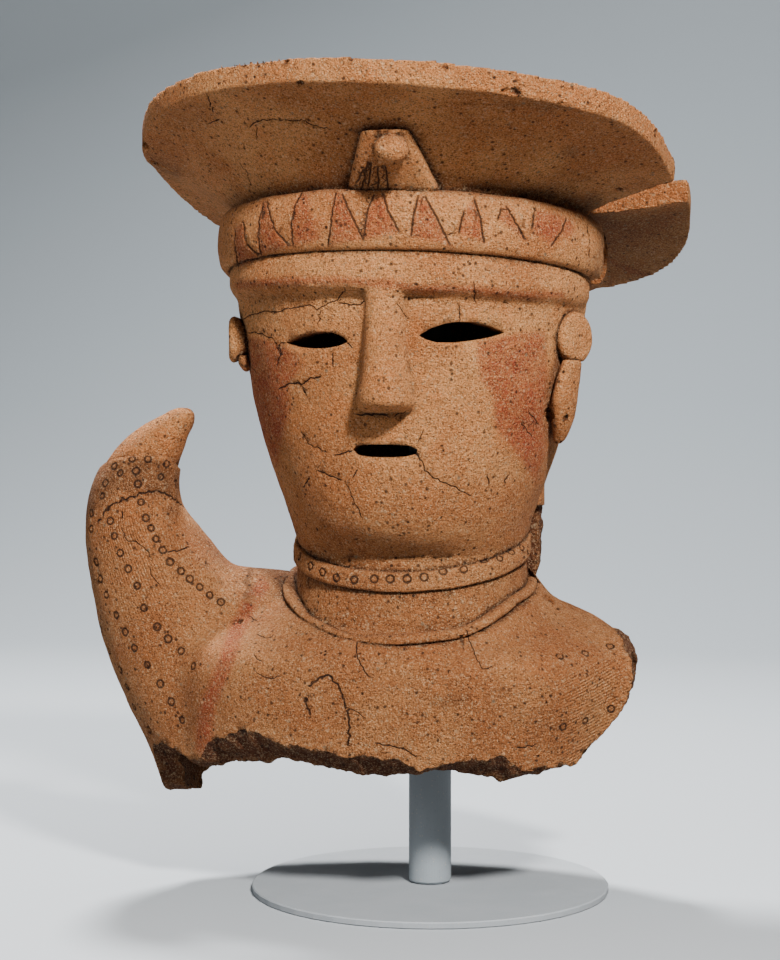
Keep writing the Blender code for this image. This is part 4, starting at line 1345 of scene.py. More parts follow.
def press_tree():
    """Geometry Nodes that press lines into the clay: a groove with a low lip, deepest on the line."""
    tree = bpy.data.node_groups.new("press marks", "GeometryNodeTree")
    for name, kind in (
        ("Clay", "NodeSocketGeometry"), ("Marks", "NodeSocketObject"), ("Mask Name", "NodeSocketString"),
        ("Lip", "NodeSocketFloat"), ("Finish", "NodeSocketMaterial"),
    ):
        tree.interface.new_socket(name, in_out="INPUT", socket_type=kind)
    tree.interface.new_socket("Pressed", in_out="OUTPUT", socket_type="NodeSocketGeometry")
    given = tree.nodes.new("NodeGroupInput").outputs
    marks = add(tree, "GeometryNodeObjectInfo", {"Object": given["Marks"]}).outputs["Geometry"]
    near = add(tree, "GeometryNodeProximity", {0: marks}, target_element="EDGES")
    index = add(tree, "GeometryNodeSampleNearest", {"Geometry": marks}, domain="POINT").outputs["Index"]

    def on_mark(name):
        value = add(tree, "GeometryNodeInputNamedAttribute", {"Name": name}, data_type="FLOAT").outputs["Attribute"]
        return add(
            tree, "GeometryNodeSampleIndex", {"Geometry": marks, "Value": value, "Index": index}, data_type="FLOAT"
        ).outputs["Value"]

    share = maths(tree, "DIVIDE", near.outputs["Distance"], on_mark("half_width"))
    groove = ramp(tree, share, (0.0, 1.0), (1.0, 0.0))
    rising, falling = ramp(tree, share, (0.9, 1.3), (0.0, 1.0)), ramp(tree, share, (1.3, 2.4), (1.0, 0.0))
    raised = maths(tree, "MULTIPLY", maths(tree, "MULTIPLY", rising, falling), given["Lip"])
    lift = maths(tree, "MULTIPLY", maths(tree, "SUBTRACT", raised, groove), on_mark("depth"))
    outward = add(tree, "GeometryNodeInputNormal").outputs["Normal"]
    offset = add(tree, "ShaderNodeVectorMath", {0: outward, "Scale": lift}, operation="SCALE").outputs[0]
    shape = given["Clay"]
    per_point = {"data_type": "FLOAT", "domain": "POINT"}
    for kind, inputs, settings in (
        ("SetPosition", {"Offset": offset}, {}),
        ("StoreNamedAttribute", {"Name": given["Mask Name"], "Value": groove}, per_point),
        ("RealizeInstances", {}, {}),
        ("SetMaterial", {"Material": given["Finish"]}, {}),
    ):
        shape = add(tree, "GeometryNode" + kind, {"Geometry": shape, **inputs}, **settings).outputs["Geometry"]
    tree.links.new(shape, tree.nodes.new("NodeGroupOutput").inputs["Pressed"])
    return tree


def press(clay, marks, finish):
    """Presses each kind of mark and leaves a plain mesh."""
    tree = press_tree()
    sockets = {item.name: item.identifier for item in tree.interface.items_tree if item.in_out == "INPUT"}
    for name, lip in (("rings", 0.22), ("strokes", 0.28), ("cracks", 0.0), ("pits", 0.0), ("creases", 0.0)):
        pressing = clay.modifiers.new("press " + name, "NODES")
        pressing.node_group = tree
        pressing[sockets["Marks"]] = marks[name]
        pressing[sockets["Mask Name"]] = name
        pressing[sockets["Lip"]] = lip
        pressing[sockets["Finish"]] = finish
    baked(clay)
    for made in marks.values():
        bpy.data.objects.remove(made)
    return clay


def store_sides(mesh, name, lines, reach=0.0021):
    """Stores how far to one side of the nearest line each point lies, in half widths, and where a line passes."""
    at, tangents, halves, ends = [], [], [], []
    for line, half, _ in lines:
        fine = along(line, 0.0004)
        step = np.gradient(fine, axis=0)
        at.append(fine)
        tangents.append(step / (np.linalg.norm(step, axis=1)[:, None] + 1e-12))
        halves.append(np.full(len(fine), half))
        ends.append(np.zeros(len(fine)))
        if not np.allclose(line[0], line[-1]):
            ends[-1][[0, -1]] = 1
    at, tangents, halves, ends = (np.concatenate(part) for part in (at, tangents, halves, ends))
    tree = KDTree(len(at))
    for i, spot in enumerate(at):
        tree.insert(spot, i)
    tree.balance()
    points, normals = points_of(mesh), normals_of(mesh)
    found = [tree.find(spot) for spot in points]
    index, distance = np.array([f[1] for f in found]), np.array([f[2] for f in found])
    away = points - at[index]
    side = np.cross(tangents[index], normals)
    side /= np.linalg.norm(side, axis=1)[:, None] + 1e-12
    across = np.clip((away * side).sum(1), -reach, reach) / halves[index]
    past = np.abs((away * tangents[index]).sum(1)) * ends[index]
    near = np.clip((reach - distance) / 0.0012, 0, 1) * np.clip(1 - past / 0.0007, 0, 1)
    store(mesh, name + "_across", across)
    store(mesh, name + "_near", near)


def add(tree, kind, inputs=None, **settings):
    made = tree.nodes.new(kind)
    for name, value in settings.items():
        setattr(made, name, value)
    for name, value in (inputs or {}).items():
        if isinstance(value, bpy.types.NodeSocket):
            tree.links.new(value, made.inputs[name])
        else:
            made.inputs[name].default_value = value
    return made


def maths(tree, operation, a, b=0.0, c=0.0, clamp=False):
    return add(tree, "ShaderNodeMath", {0: a, 1: b, 2: c}, operation=operation, use_clamp=clamp).outputs[0]


def ramp(tree, value, source, result, smooth=True):
    """A value carried from one range to another, held at its ends."""
    return add(
        tree, "ShaderNodeMapRange",
        {"Value": value, "From Min": source[0], "From Max": source[1], "To Min": result[0], "To Max": result[1]},
        interpolation_type="SMOOTHSTEP" if smooth else "LINEAR",
    ).outputs["Result"]


def blended(tree, factor, a, b, kind="MIX"):
    return add(tree, "ShaderNodeMix", {0: factor, 6: a, 7: b}, data_type="RGBA", blend_type=kind).outputs[2]


def grain_noise(tree, where, size, detail=3.0, roughness=0.55):
    """Noise whose features are about a size in metres."""
    return add(
        tree, "ShaderNodeTexNoise", {"Vector": where, "Scale": 1.0 / size, "Detail": detail, "Roughness": roughness}
    ).outputs[0]


def stored(tree, name):
    return add(tree, "ShaderNodeAttribute", attribute_name=name).outputs["Fac"]


def shader_group(name, inputs, outputs):
    """An empty node group that is told where on the piece it is, with its other inputs' defaults."""
    tree = bpy.data.node_groups.new(name, "ShaderNodeTree")
    tree.interface.new_socket("Where", in_out="INPUT", socket_type="NodeSocketVector")
    for label, value in inputs.items():
        tree.interface.new_socket(label, in_out="INPUT", socket_type="NodeSocketFloat").default_value = value
    for label in outputs:
        tree.interface.new_socket(label, in_out="OUTPUT", socket_type="NodeSocketFloat")
    return tree, tree.nodes.new("NodeGroupInput").outputs, tree.nodes.new("NodeGroupOutput").inputs


def sand_group():
    """Sand in clay or dust on paint: dark and pale specks, and the relief that they make."""
    tree, given, out = shader_group(
        "sand grain", {"Grain Size": 0.0006, "Amount": 0.5}, ("Dark Specks", "Pale Specks", "Relief")
    )
    scale = maths(tree, "DIVIDE", 1.0, given["Grain Size"])
    fine = add(tree, "ShaderNodeTexVoronoi", {"Vector": given["Where"], "Scale": scale}, feature="F1")
    pick = add(tree, "ShaderNodeSeparateColor", {"Color": fine.outputs["Color"]}).outputs
    core = ramp(tree, fine.outputs["Distance"], (0.18, 0.52), (1.0, 0.0))
    rare = maths(tree, "SUBTRACT", 1.0, given["Amount"])
    dark = maths(tree, "MULTIPLY", core, maths(tree, "GREATER_THAN", pick[0], rare))
    pale = maths(tree, "MULTIPLY", core, maths(tree, "GREATER_THAN", pick[1], rare))
    wide = add(
        tree, "ShaderNodeTexNoise",
        {"Vector": given["Where"], "Scale": maths(tree, "MULTIPLY", scale, 0.9), "Detail": 3.0, "Roughness": 0.65},
    ).outputs[0]
    bumps = maths(tree, "MULTIPLY", core, maths(tree, "SUBTRACT", pick[2], 0.5))
    relief = maths(tree, "MULTIPLY_ADD", bumps, 0.9, wide)
    for name, value in (("Dark Specks", dark), ("Pale Specks", pale), ("Relief", relief)):
        tree.links.new(value, out[name])
    return tree


def worn_group():
    """What is left of pigment, soot and patches of painted shade, worn at its edge, from how many metres inside its
    outline a point lies.
    """
    tree, given, out = shader_group(
        "worn mask", {"Depth Inside": 0.0, "Feather": 0.002, "Wear": 0.3}, ("Mask",)
    )
    broad = grain_noise(tree, given["Where"], 0.007, 4.0, 0.6)
    fine = grain_noise(tree, given["Where"], 0.0011, 3.0, 0.6)
    ragged = maths(tree, "MULTIPLY_ADD", broad, 1.6, -0.8)
    ragged = maths(tree, "ADD", ragged, maths(tree, "MULTIPLY_ADD", fine, 0.9, -0.45))
    edge = maths(tree, "ADD", maths(tree, "DIVIDE", given["Depth Inside"], given["Feather"]), ragged)
    body = ramp(tree, edge, (-0.7, 0.9), (0.0, 1.0))
    lost = ramp(tree, maths(tree, "ADD", fine, maths(tree, "MULTIPLY", broad, 0.6)), (0.55, 0.95), (0.0, 1.0))
    kept = maths(tree, "SUBTRACT", 1.0, maths(tree, "MULTIPLY", lost, given["Wear"]))
    tree.links.new(maths(tree, "MULTIPLY", body, kept), out["Mask"])
    return tree


def placed_group(tree, group, inputs):
    return add(tree, "ShaderNodeGroup", inputs, node_tree=group).outputs


def new_material(name, roughness):
    made = bpy.data.materials.new(name)
    made.use_nodes = True
    tree = made.node_tree
    shader = tree.nodes["Principled BSDF"]
    shader.inputs["Roughness"].default_value = roughness
    where = add(tree, "ShaderNodeTexCoord").outputs["Object"]
    return made, tree, shader, where


def clay_material(colours, groups):
    """Low-fired clay full of sand, with red pigment, soot, dirt in its marks, darker concave corners and broken
    faces, and painted shade on the inner faces, in the creases, in sheltered hollows, on the breaks and under the
    rear of the hair board.
    """
    made, tree, shader, where = new_material("sandy_fired_clay", 0.93)
    shader.inputs["Specular IOR Level"].default_value = 0.2
    fine = placed_group(tree, groups["sand"], {"Where": where, "Grain Size": 0.0009, "Amount": 0.36})
    coarse = placed_group(tree, groups["sand"], {"Where": where, "Grain Size": 0.0021, "Amount": 0.09})
    pores = placed_group(tree, groups["sand"], {"Where": where, "Grain Size": 0.0019, "Amount": 0.025})
    cloud = grain_noise(tree, where, 0.045, 3.0, 0.5)
    patch = grain_noise(tree, where, 0.012, 4.0, 0.6)
    mottle = grain_noise(tree, where, 0.0032, 5.0, 0.7)
    grit = grain_noise(tree, where, 0.0008, 3.0, 0.75)
    names = ("clay_light", "clay_brown", "clay_orange", "clay_dark_and_shade", "soot", "sand", "red_pigment", "core")
    light, brown, orange, dark, soot, sand, red, core_and_shade_colour = ((*getattr(colours, name), 1) for name in names)

    def laid(amount, strength, over, colour):
        return blended(tree, maths(tree, "MULTIPLY", amount, strength), over, colour)

    def worn(name, feather, wear):
        given = {"Where": where, "Depth Inside": stored(tree, name), "Feather": feather, "Wear": wear}
        return placed_group(tree, groups["worn"], given)["Mask"]

    def line_mask(name):
        ragged = maths(tree, "MULTIPLY_ADD", grit, 0.8, -0.4)
        away = maths(tree, "ADD", maths(tree, "ABSOLUTE", stored(tree, name + "_across")), ragged)
        return maths(tree, "MULTIPLY", ramp(tree, away, (0.6, 1.25), (1.0, 0.0)), stored(tree, name + "_near"))

    marks = {name: line_mask(name) for name in ("rings", "strokes", "cracks")}
    tone = blended(tree, ramp(tree, cloud, (0.38, 0.64), (0.0, 1.0)), brown, light)
    tone = laid(ramp(tree, patch, (0.42, 0.72), (0.0, 1.0)), 0.5, tone, orange)
    tone = laid(ramp(tree, mottle, (0.45, 0.75), (0.0, 1.0)), 0.35, tone, dark)
    # Darker towards the bottom of the figure.
    rise = add(tree, "ShaderNodeSeparateXYZ", {0: where}).outputs["Z"]
    tone = laid(ramp(tree, rise, (0.22, 0.14), (0.0, 1.0)), 0.42, tone, dark)
    tone = laid(worn("red", 0.0022, 0.6), 0.92, tone, red)
    # Soot, and painted shade under the rear of the hair board and in the gap beside the band.
    tone = laid(worn("soot", 0.004, 0.3), 0.6, tone, soot)
    broken = ramp(tree, stored(tree, "broken"), (0.3, 0.7), (0.0, 1.0))
    core = ramp(tree, stored(tree, "core"), (0.3, 0.7), (0.0, 1.0))
    # Broken faces painted dark: partly the clay's darker core, partly painted shade on breaks that face down and
    # into the hollow.
    tone = laid(core, 0.9, tone, core_and_shade_colour)
    # Painted shade on the inner faces.
    tone = laid(stored(tree, "inside"), 0.6, tone, dark)
    # Painted shade where the clay hides much of its surroundings, as ambient occlusion.
    tone = laid(ramp(tree, stored(tree, "sheltered"), (0.12, 0.75), (0.0, 1.0)), 0.75, tone, dark)
    tone = laid(maths(tree, "SUBTRACT", broken, core, clamp=True), 0.6, tone, orange)
    # Darker in concave corners.
    tone = laid(stored(tree, "dirt"), 0.8, tone, soot)
    tone = laid(stored(tree, "edge"), 0.35, tone, light)
    tone = laid(ramp(tree, grit, (0.50, 0.70), (0.0, 1.0)), 0.62, tone, soot)
    tone = laid(ramp(tree, grit, (0.48, 0.30), (0.0, 1.0)), 0.42, tone, sand)
    for specks, dark_strength, pale_strength in ((fine, 0.68, 0.3), (coarse, 0.78, 0.25), (pores, 0.85, 0.0)):
        tone = laid(specks["Dark Specks"], dark_strength, tone, soot)
        if pale_strength:
            tone = laid(specks["Pale Specks"], pale_strength, tone, sand)
    # Dirt in the rings, strokes, pits and cracks. In the creases, where laid-on forms meet the clay, the darkening
    # is painted shade.
    for name, strength in (("rings", 0.4), ("strokes", 0.4), ("pits", 0.85), ("cracks", 0.4), ("creases", 0.85)):
        tone = laid(stored(tree, name), strength, tone, soot)
    for name, strength in (("rings", 0.8), ("strokes", 0.8), ("cracks", 0.95)):
        tone = laid(marks[name], strength, tone, soot)
    tree.links.new(tone, shader.inputs["Base Color"])
    lines = maths(tree, "SINE", maths(tree, "MULTIPLY", stored(tree, "comb_across"), 2 * math.pi / 1.25))
    ragged = grain_noise(tree, where, 0.004, 3.0, 0.6)
    combing = maths(tree, "MULTIPLY", lines, stored(tree, "combed"))
    combing = maths(tree, "MULTIPLY", combing, ramp(tree, ragged, (0.3, 0.7), (0.25, 1.0)))
    height = maths(tree, "MULTIPLY", fine["Relief"], 0.0010)
    for amount, depth in (
        (coarse["Relief"], 0.0012), (mottle, 0.0028), (patch, 0.0022), (grit, 0.0013), (combing, 0.00045),
        (pores["Dark Specks"], -0.0006), (marks["rings"], -0.0005), (marks["strokes"], -0.0005),
        (marks["cracks"], -0.0006),
    ):
        height = maths(tree, "MULTIPLY_ADD", amount, depth, height)
    crumbs = grain_noise(tree, where, 0.0024, 5.0, 0.7)
    height = maths(tree, "MULTIPLY_ADD", maths(tree, "MULTIPLY", crumbs, broken), 0.004, height)
    roughen(tree, shader, height, 1.0)
    return made


def roughen(tree, shader, height, strength):
    """Turns a height in metres into relief on a material."""
    bump = add(tree, "ShaderNodeBump", {"Height": height, "Strength": strength, "Distance": 1.0})
    tree.links.new(bump.outputs["Normal"], shader.inputs["Normal"])


def paint_material(name, colour, colours, groups):
    """Matt grey paint on steel, with a faint orange peel and dust."""
    made, tree, shader, where = new_material(name, 0.6)
    shader.inputs["Specular IOR Level"].default_value = 0.35
    dust = placed_group(tree, groups["sand"], {"Where": where, "Grain Size": 0.0009, "Amount": 0.12})
    cloud = grain_noise(tree, where, 0.03, 3.0, 0.5)
    tone = blended(tree, ramp(tree, cloud, (0.3, 0.7), (0.0, 0.25)), (*colour, 1), (*colours.paint_worn, 1))
    tone = blended(tree, maths(tree, "MULTIPLY", dust["Pale Specks"], 0.12), tone, (*colours.sand, 1))
    tone = blended(tree, maths(tree, "MULTIPLY", dust["Dark Specks"], 0.10), tone, (*colours.soot, 1))
    tree.links.new(tone, shader.inputs["Base Color"])
    tree.links.new(ramp(tree, cloud, (0.3, 0.7), (0.52, 0.68)), shader.inputs["Roughness"])
    roughen(tree, shader, maths(tree, "MULTIPLY", dust["Relief"], 0.00006), 0.6)
    return made


def shared_groups():
    """The node groups that the materials share, made once."""
    makers = {"sand": ("sand grain", sand_group), "worn": ("worn mask", worn_group)}
    return {key: bpy.data.node_groups.get(name) or make() for key, (name, make) in makers.items()}


def arm_frame(points):
    """How far round the raised arm points lie, in millimetres, and how near its line they are."""
    line = np.array([place(x, y, z) for x, y, z, _, _ in curve_through(ARM_ROWS, 60)])
    away = np.linalg.norm(points[:, None, :] - line[None], axis=2)
    nearest = away.argmin(1)
    rel = points - line[nearest]
    ahead = np.gradient(line, axis=0)[nearest]
    ahead /= np.linalg.norm(ahead, axis=1)[:, None]
    side = np.stack([ahead[:, 2], np.zeros(len(points)), -ahead[:, 0]], 1)
    turn = np.arctan2(-rel[:, 1], (rel * side).sum(1))
    return turn * 30.0, away.min(1)


def paint_masks(mesh, inside):
    """Stores how deep each point lies inside the pigment, and inside the soot and painted shade, and where the clay
    is combed.
    """
    points, normals = points_of(mesh), normals_of(mesh)
    pixels = seen_at(points)
    front = ((EYE - points) * normals).sum(1) > 0
    outside = inside < 0.5
    shown = front & outside
    far = -0.02
    red = np.full(len(points), far)
    soot = np.full(len(points), far)
    for outline in (*RED_PATCHES, *BAND_RED_PATCHES):
        red = np.maximum(red, np.where(shown, signed_depth(pixels, outline) * PIXEL, far))
    for a, b in RED_TRIANGLES:
        outline = (*BAND_STROKES[a], *reversed(BAND_STROKES[b]))
        red = np.maximum(red, np.where(shown, signed_depth(pixels, outline) * PIXEL + 0.0002, far))
    for line, width in zip(RED_STROKES, RED_STROKE_WIDTHS):
        red = np.maximum(red, np.where(shown, (width - beside_line(pixels, line)) * PIXEL, far))
    for outline in SOOT_AND_SHADE:
        soot = np.maximum(soot, np.where(shown, signed_depth(pixels, outline) * PIXEL, far))
    # Behind, the red triangles go on round the band.
    unit = (points - np.array((0, 0, FIGURE_LIFT))) / UNIT
    bearing = np.degrees(np.arctan2(unit[:, 0] - HEAD_X, -unit[:, 1])) % 360
    on_band = (np.hypot(unit[:, 0] - HEAD_X, unit[:, 1]) > 78) & outside
    middle = BAND_HEIGHT + BAND_FALL * unit[:, 1]
    for centre in np.linspace(*BAND_BEHIND_DEG, BAND_STROKES_BEHIND):
        outline = [(0, 11), (-4.6, -12), (4.6, -12)]
        flat = np.stack([(bearing - centre) * 1.4, unit[:, 2] - middle], 1)
        near = on_band & (np.abs(flat[:, 0]) < 12) & (np.abs(flat[:, 1]) < 14)
        red = np.where(near, np.maximum(red, signed_depth(flat, outline) * UNIT), red)
    store(mesh, "red", np.clip(red, -0.01, 0.01))
    store(mesh, "soot", np.clip(soot, -0.01, 0.01))
    round_arm, from_arm = arm_frame(points)
    sleeve = outside & (from_arm < 0.05) & (unit[:, 0] < -80) & (unit[:, 2] < 147)
    combed_sleeve = sleeve * np.clip((unit[:, 2] - 70) / 25.0, 0, 1) * np.clip((147 - unit[:, 2]) / 2.0, 0, 1)
    shoulder = outside & (unit[:, 0] > 58)
    combed_shoulder = shoulder * np.clip((unit[:, 0] - 58) / 12.0, 0, 1) * np.clip((70 - unit[:, 2]) / 8.0, 0, 1)
    slant = math.radians(25)
    across = np.where(
        shoulder, unit[:, 2] * math.cos(slant) - unit[:, 0] * math.sin(slant),
        np.where(sleeve, round_arm, unit[:, 0]),
    )
    chest = outside & (np.abs(unit[:, 0] - 12) < 40) & (unit[:, 2] < 52) & front
    combed = np.maximum(combed_sleeve, combed_shoulder) + 0.35 * chest * np.clip((52 - unit[:, 2]) / 10.0, 0, 1)
    store(mesh, "comb_across", across)
    store(mesh, "combed", np.clip(combed, 0, 1))


def eased(values, corners, rounds):
    """Values evened out between neighbours."""
    for _ in range(rounds):
        total, count = np.zeros(len(values)), np.zeros(len(values))
        for i, j in ((0, 1), (1, 2), (2, 0)):
            np.add.at(total, corners[:, i], values[corners[:, j]])
            np.add.at(total, corners[:, j], values[corners[:, i]])
            np.add.at(count, corners[:, i], 1)
            np.add.at(count, corners[:, j], 1)
        values = 0.5 * values + 0.5 * total / np.maximum(count, 1)
    return values


def wear_and_shade_masks(mesh, surface, inside):
    """Stores where concave corners are darkened, where edges are rubbed pale, and how much each point is hidden from
    its surroundings, as painted shade.
    """
    points, normals = points_of(mesh), normals_of(mesh)
    corners, _ = triangles_of(mesh)
    bend, weight = np.zeros(len(points)), np.zeros(len(points))
    for i, j in ((0, 1), (1, 2), (2, 0)):
        a, b = corners[:, i], corners[:, j]
        step = points[b] - points[a]
        length = np.linalg.norm(step, axis=1) + 1e-9
        turn = ((normals[b] - normals[a]) * step).sum(1) / length
        for end in (a, b):
            np.add.at(bend, end, turn)
            np.add.at(weight, end, length)
    bend = eased(bend / (weight + 1e-12), corners, 2)
    store(mesh, "dirt", np.clip(-bend / 260.0, 0, 1))
    store(mesh, "edge", np.clip(bend / 300.0, 0, 1))
    # Painted shade: the share of rays from each point that the clay stops.
    covered = np.ones(len(points))
    turns = np.arange(14) * 2.39996
    rises = np.sqrt((np.arange(14) + 0.5) / 14)
    spread = np.stack([rises * np.cos(turns), rises * np.sin(turns), np.sqrt(1 - rises**2)], 1)
    cast = surface.tree.ray_cast
    for i in np.nonzero(inside < 0.5)[0]:
        normal = normals[i]
        side = np.cross(normal, (0.0, 0.0, 1.0) if abs(normal[2]) < 0.9 else (1.0, 0.0, 0.0))
        side /= np.linalg.norm(side)
        rays = spread @ np.stack([side, np.cross(normal, side), normal])
        start = Vector(points[i] + normal * 0.0012)
        covered[i] = sum(cast(start, Vector(ray), 0.055)[0] is not None for ray in rays) / 14.0
    store(mesh, "sheltered", eased(covered, corners, 3))


# Kinds of face, by what left them.
OUTER, INNER, CHIPPED, CORE, SLOT = KINDS = range(5)


def as_kind(obj, kind):
    """Marks all faces as one kind, by material place, which they keep when they are cut into something else."""
    obj.data.materials.clear()
    for k in KINDS:
        name = f"kind_{k}"
        obj.data.materials.append(bpy.data.materials.get(name) or bpy.data.materials.new(name))
    obj.data.polygons.foreach_set("material_index", np.full(len(obj.data.polygons), kind, np.int32))
    return obj


def cutters_for(surface, sizes):
    """What is cut from the clay, and which kind of face each cutter leaves."""
    made = [(hollow(sizes.wall), INNER)]
    made += [(slot_cutter(name, outline, surface), SLOT) for name, outline in SLOTS]
    made += [
        (bottom_break(), CORE),
        (crag_cutter("stump_break", STUMP_BREAK, -90, 90, False, 1.1, 5), CORE),
        (neck_hole(), CORE),
        (crag_cutter("nape_break", NAPE_BREAK, *NAPE_BREAK_HEIGHTS, True, 1.0, 13), CORE),
        (crag_cutter("board_gap", BOARD_GAP, *BOARD_GAP_HEIGHTS, True, 1.2, 8), CHIPPED),
    ]
    for i, (pixel, radius, sink) in enumerate(BITES):
        made.append((bite(f"bite_{i}", surface, pixel, radius / 1000, sink / 1000, 60 + i), CHIPPED))
    return made


def refined(clay, marks):
    """The clay as points, triangles and kinds of face, with small triangles where marks and breaks need them."""
    points = points_of(clay.data)
    faces, owners = triangles_of(clay.data)
    kinds = np.zeros(len(clay.data.polygons), np.int32)
    clay.data.polygons.foreach_get("material_index", kinds)
    kinds = kinds[owners]
    tree = KDTree(sum(len(m.data.vertices) for m in marks.values()))
    reach = []
    for made in marks.values():
        widths = np.zeros(len(made.data.vertices), np.float32)
        made.data.attributes["half_width"].data.foreach_get("value", widths)
        for v, width in zip(made.data.vertices, widths):
            tree.insert(v.co, len(reach))
            reach.append(float(width))
    tree.balance()

    def want(middles, length, edge_kind):
        out = np.where((edge_kind == CHIPPED) | (edge_kind == CORE), 0.0019, 1.0)
        for i in np.nonzero((length > 0.0009) & (edge_kind != INNER))[0]:
            _, index, distance = tree.find(middles[i])
            beyond = distance - reach[index] * 1.1
            if beyond < length[i] * 0.4:
                out[i] = min(out[i], max(0.0010, 0.95 * reach[index]) + 0.9 * max(0.0, beyond))
        return out

    for _ in range(6):
        points, faces, kinds, again = split_edges(points, faces, kinds, want)
        if not again:
            break
    return points, faces, kinds


def share_of(kind_test, faces, number):
    """For each point, the share of its triangles that pass a test."""
    weight, passed = np.zeros(number), np.zeros(number)
    for k in range(3):
        np.add.at(weight, faces[:, k], 1)
        np.add.at(passed, faces[:, k], kind_test)
    return passed / np.maximum(weight, 1)


def build_figure(sizes, colours):
    """The broken clay figure: its outer form cut hollow and broken, with its marks pressed in and its wear."""
    clay = outer_form(sizes.fineness, OUTER_TRIANGLES)
    surface = Surface(clay.data)
    lines = all_marks(surface, sizes)
    lines["creases"] = creases(clay.data, sizes)
    marks = {name: marks_object(name, drawn) for name, drawn in lines.items()}
    cutters = [as_kind(facing_out(cutter), kind) for cutter, kind in cutters_for(surface, sizes)]
    combined(as_kind(clay, OUTER), cutters, "DIFFERENCE")
    points, faces, kinds = refined(clay, marks)
    mesh = bpy.data.meshes.new("haniwa_clay")
    mesh.from_pydata(points.tolist(), [], faces.tolist())
    mesh.update()
    broken = share_of((kinds == CHIPPED) | (kinds == CORE), faces, len(points))
    inside = share_of(kinds == INNER, faces, len(points))
    store(mesh, "broken", broken)
    store(mesh, "core", share_of(kinds == CORE, faces, len(points)))
    store(mesh, "inside", inside)
    on_break = np.nonzero(broken > 0)[0]
    chips = 0.0006 * rough(points[on_break], 0.004, 4) + 0.0003 * rough(points[on_break], 0.0013, 9, 2)
    points[on_break] += normals_of(mesh)[on_break] * (chips * broken[on_break])[:, None]
    set_points(mesh, points)
    clay.data = mesh
    finish = clay_material(colours, shared_groups())
    mesh.materials.append(finish)
    press(clay, marks, finish)
    mesh = clay.data
    clay.name = mesh.name = "haniwa_clay"
    for name in ("rings", "strokes", "cracks"):
        store_sides(mesh, name, lines[name])
    paint_masks(mesh, inside)
    wear_and_shade_masks(mesh, surface, inside)
    mesh.materials.clear()
    mesh.materials.append(finish)
    mesh.polygons.foreach_set("material_index", np.zeros(len(mesh.polygons), np.int32))
    mesh.shade_smooth()
    return clay


def sweep(name, half_width, near, far, height, bend, finish):
    """A floor that turns up into a backdrop."""
    profile = [(y, 0.0) for y in np.linspace(near, far - bend, 12)]
    profile += [
        (far - bend + bend * math.sin(t), bend - bend * math.cos(t)) for t in np.linspace(0, math.pi / 2, 24)[1:]
    ]
    profile += [(far, z) for z in np.linspace(bend, height, 8)[1:]]
    points = [(x, y, z) for y, z in profile for x in np.linspace(-half_width, half_width, 9)]
    faces = [
        (r * 9 + k, r * 9 + k + 1, (r + 1) * 9 + k + 1, (r + 1) * 9 + k)
        for r in range(len(profile) - 1)
        for k in range(8)
    ]
    made = new_object(name, points, faces)
    made.data.materials.append(finish)
    made.data.shade_smooth()
    return made


def backdrop_material(stage):
    """Studio paper, darker up the backdrop than on the floor near the camera, as painted shade of the light's
    fall-off.
    """
    made, tree, shader, where = new_material("studio_paper", 0.95)
    shader.inputs["Specular IOR Level"].default_value = 0.1
    split = add(tree, "ShaderNodeSeparateXYZ", {0: where}).outputs
    rise = maths(tree, "MULTIPLY_ADD", split["Z"], 1.5, split["Y"])
    factor = ramp(tree, rise, (-0.45, 1.9), (0.0, 1.0), smooth=False)
    cloud = maths(tree, "MULTIPLY_ADD", grain_noise(tree, where, 0.4, 2.0, 0.4), 0.06, -0.03)
    painted_falloff = maths(tree, "ADD", factor, cloud)
    tone = blended(tree, painted_falloff, (*stage.floor, 1), (*stage.backdrop, 1))
    to_eye = add(tree, "ShaderNodeLightPath").outputs["Is Camera Ray"]
    share = ramp(tree, to_eye, (0.0, 1.0), (stage.bounce, 1.0), smooth=False)
    seen = blended(tree, share, (0.0, 0.0, 0.0, 1.0), tone)
    tree.links.new(seen, shader.inputs["Base Color"])
    return made


def surround_light(stage):
    """Light from all round, more of it from above. Past the paper's edge it shows as the studio's pale wall."""
    made = bpy.data.worlds.new("surround")
    made.use_nodes = True
    tree = made.node_tree
    ground = tree.nodes["Background"]
    way = add(tree, "ShaderNodeTexCoord").outputs["Generated"]
    height = add(tree, "ShaderNodeSeparateXYZ", {0: way}).outputs["Z"]
    power = maths(tree, "MULTIPLY", ramp(tree, height, (-0.2, 0.8), (0.35, 1.3)), stage.sky)
    to_eye = add(tree, "ShaderNodeLightPath").outputs["Is Camera Ray"]
    tree.links.new(maths(tree, "MAXIMUM", power, maths(tree, "MULTIPLY", to_eye, 0.55)), ground.inputs["Strength"])
    ground.inputs["Color"].default_value = (*linear(205, 210, 214), 1.0)
    return made


def lamp(name, place_at, aim, size, power, colour):
    data = bpy.data.lights.new(name, "AREA")
    data.shape = "DISK"
    data.size = size
    data.energy = power
    data.color = colour
    made = bpy.data.objects.new(name, data)
    made.location = place_at
    made.rotation_mode = "QUATERNION"
    made.rotation_quaternion = (Vector(aim) - Vector(place_at)).to_track_quat("-Z", "Y")
    bpy.context.scene.collection.objects.link(made)
    return made


def camera():
    data = bpy.data.cameras.new("camera")
    made = bpy.data.objects.new("camera", data)
    made.location = EYE
    made.rotation_mode = "QUATERNION"
    made.rotation_quaternion = Vector(AHEAD).to_track_quat("-Z", "Y")
    data.sensor_fit = "VERTICAL"
    data.sensor_height = 36.0
    data.lens = 36.0 * FOCAL / 960.0
    data.shift_y = -(480.0 - HORIZON) / 960.0
    data.clip_start = 0.01
    bpy.context.scene.collection.objects.link(made)
    bpy.context.scene.camera = made
    return made


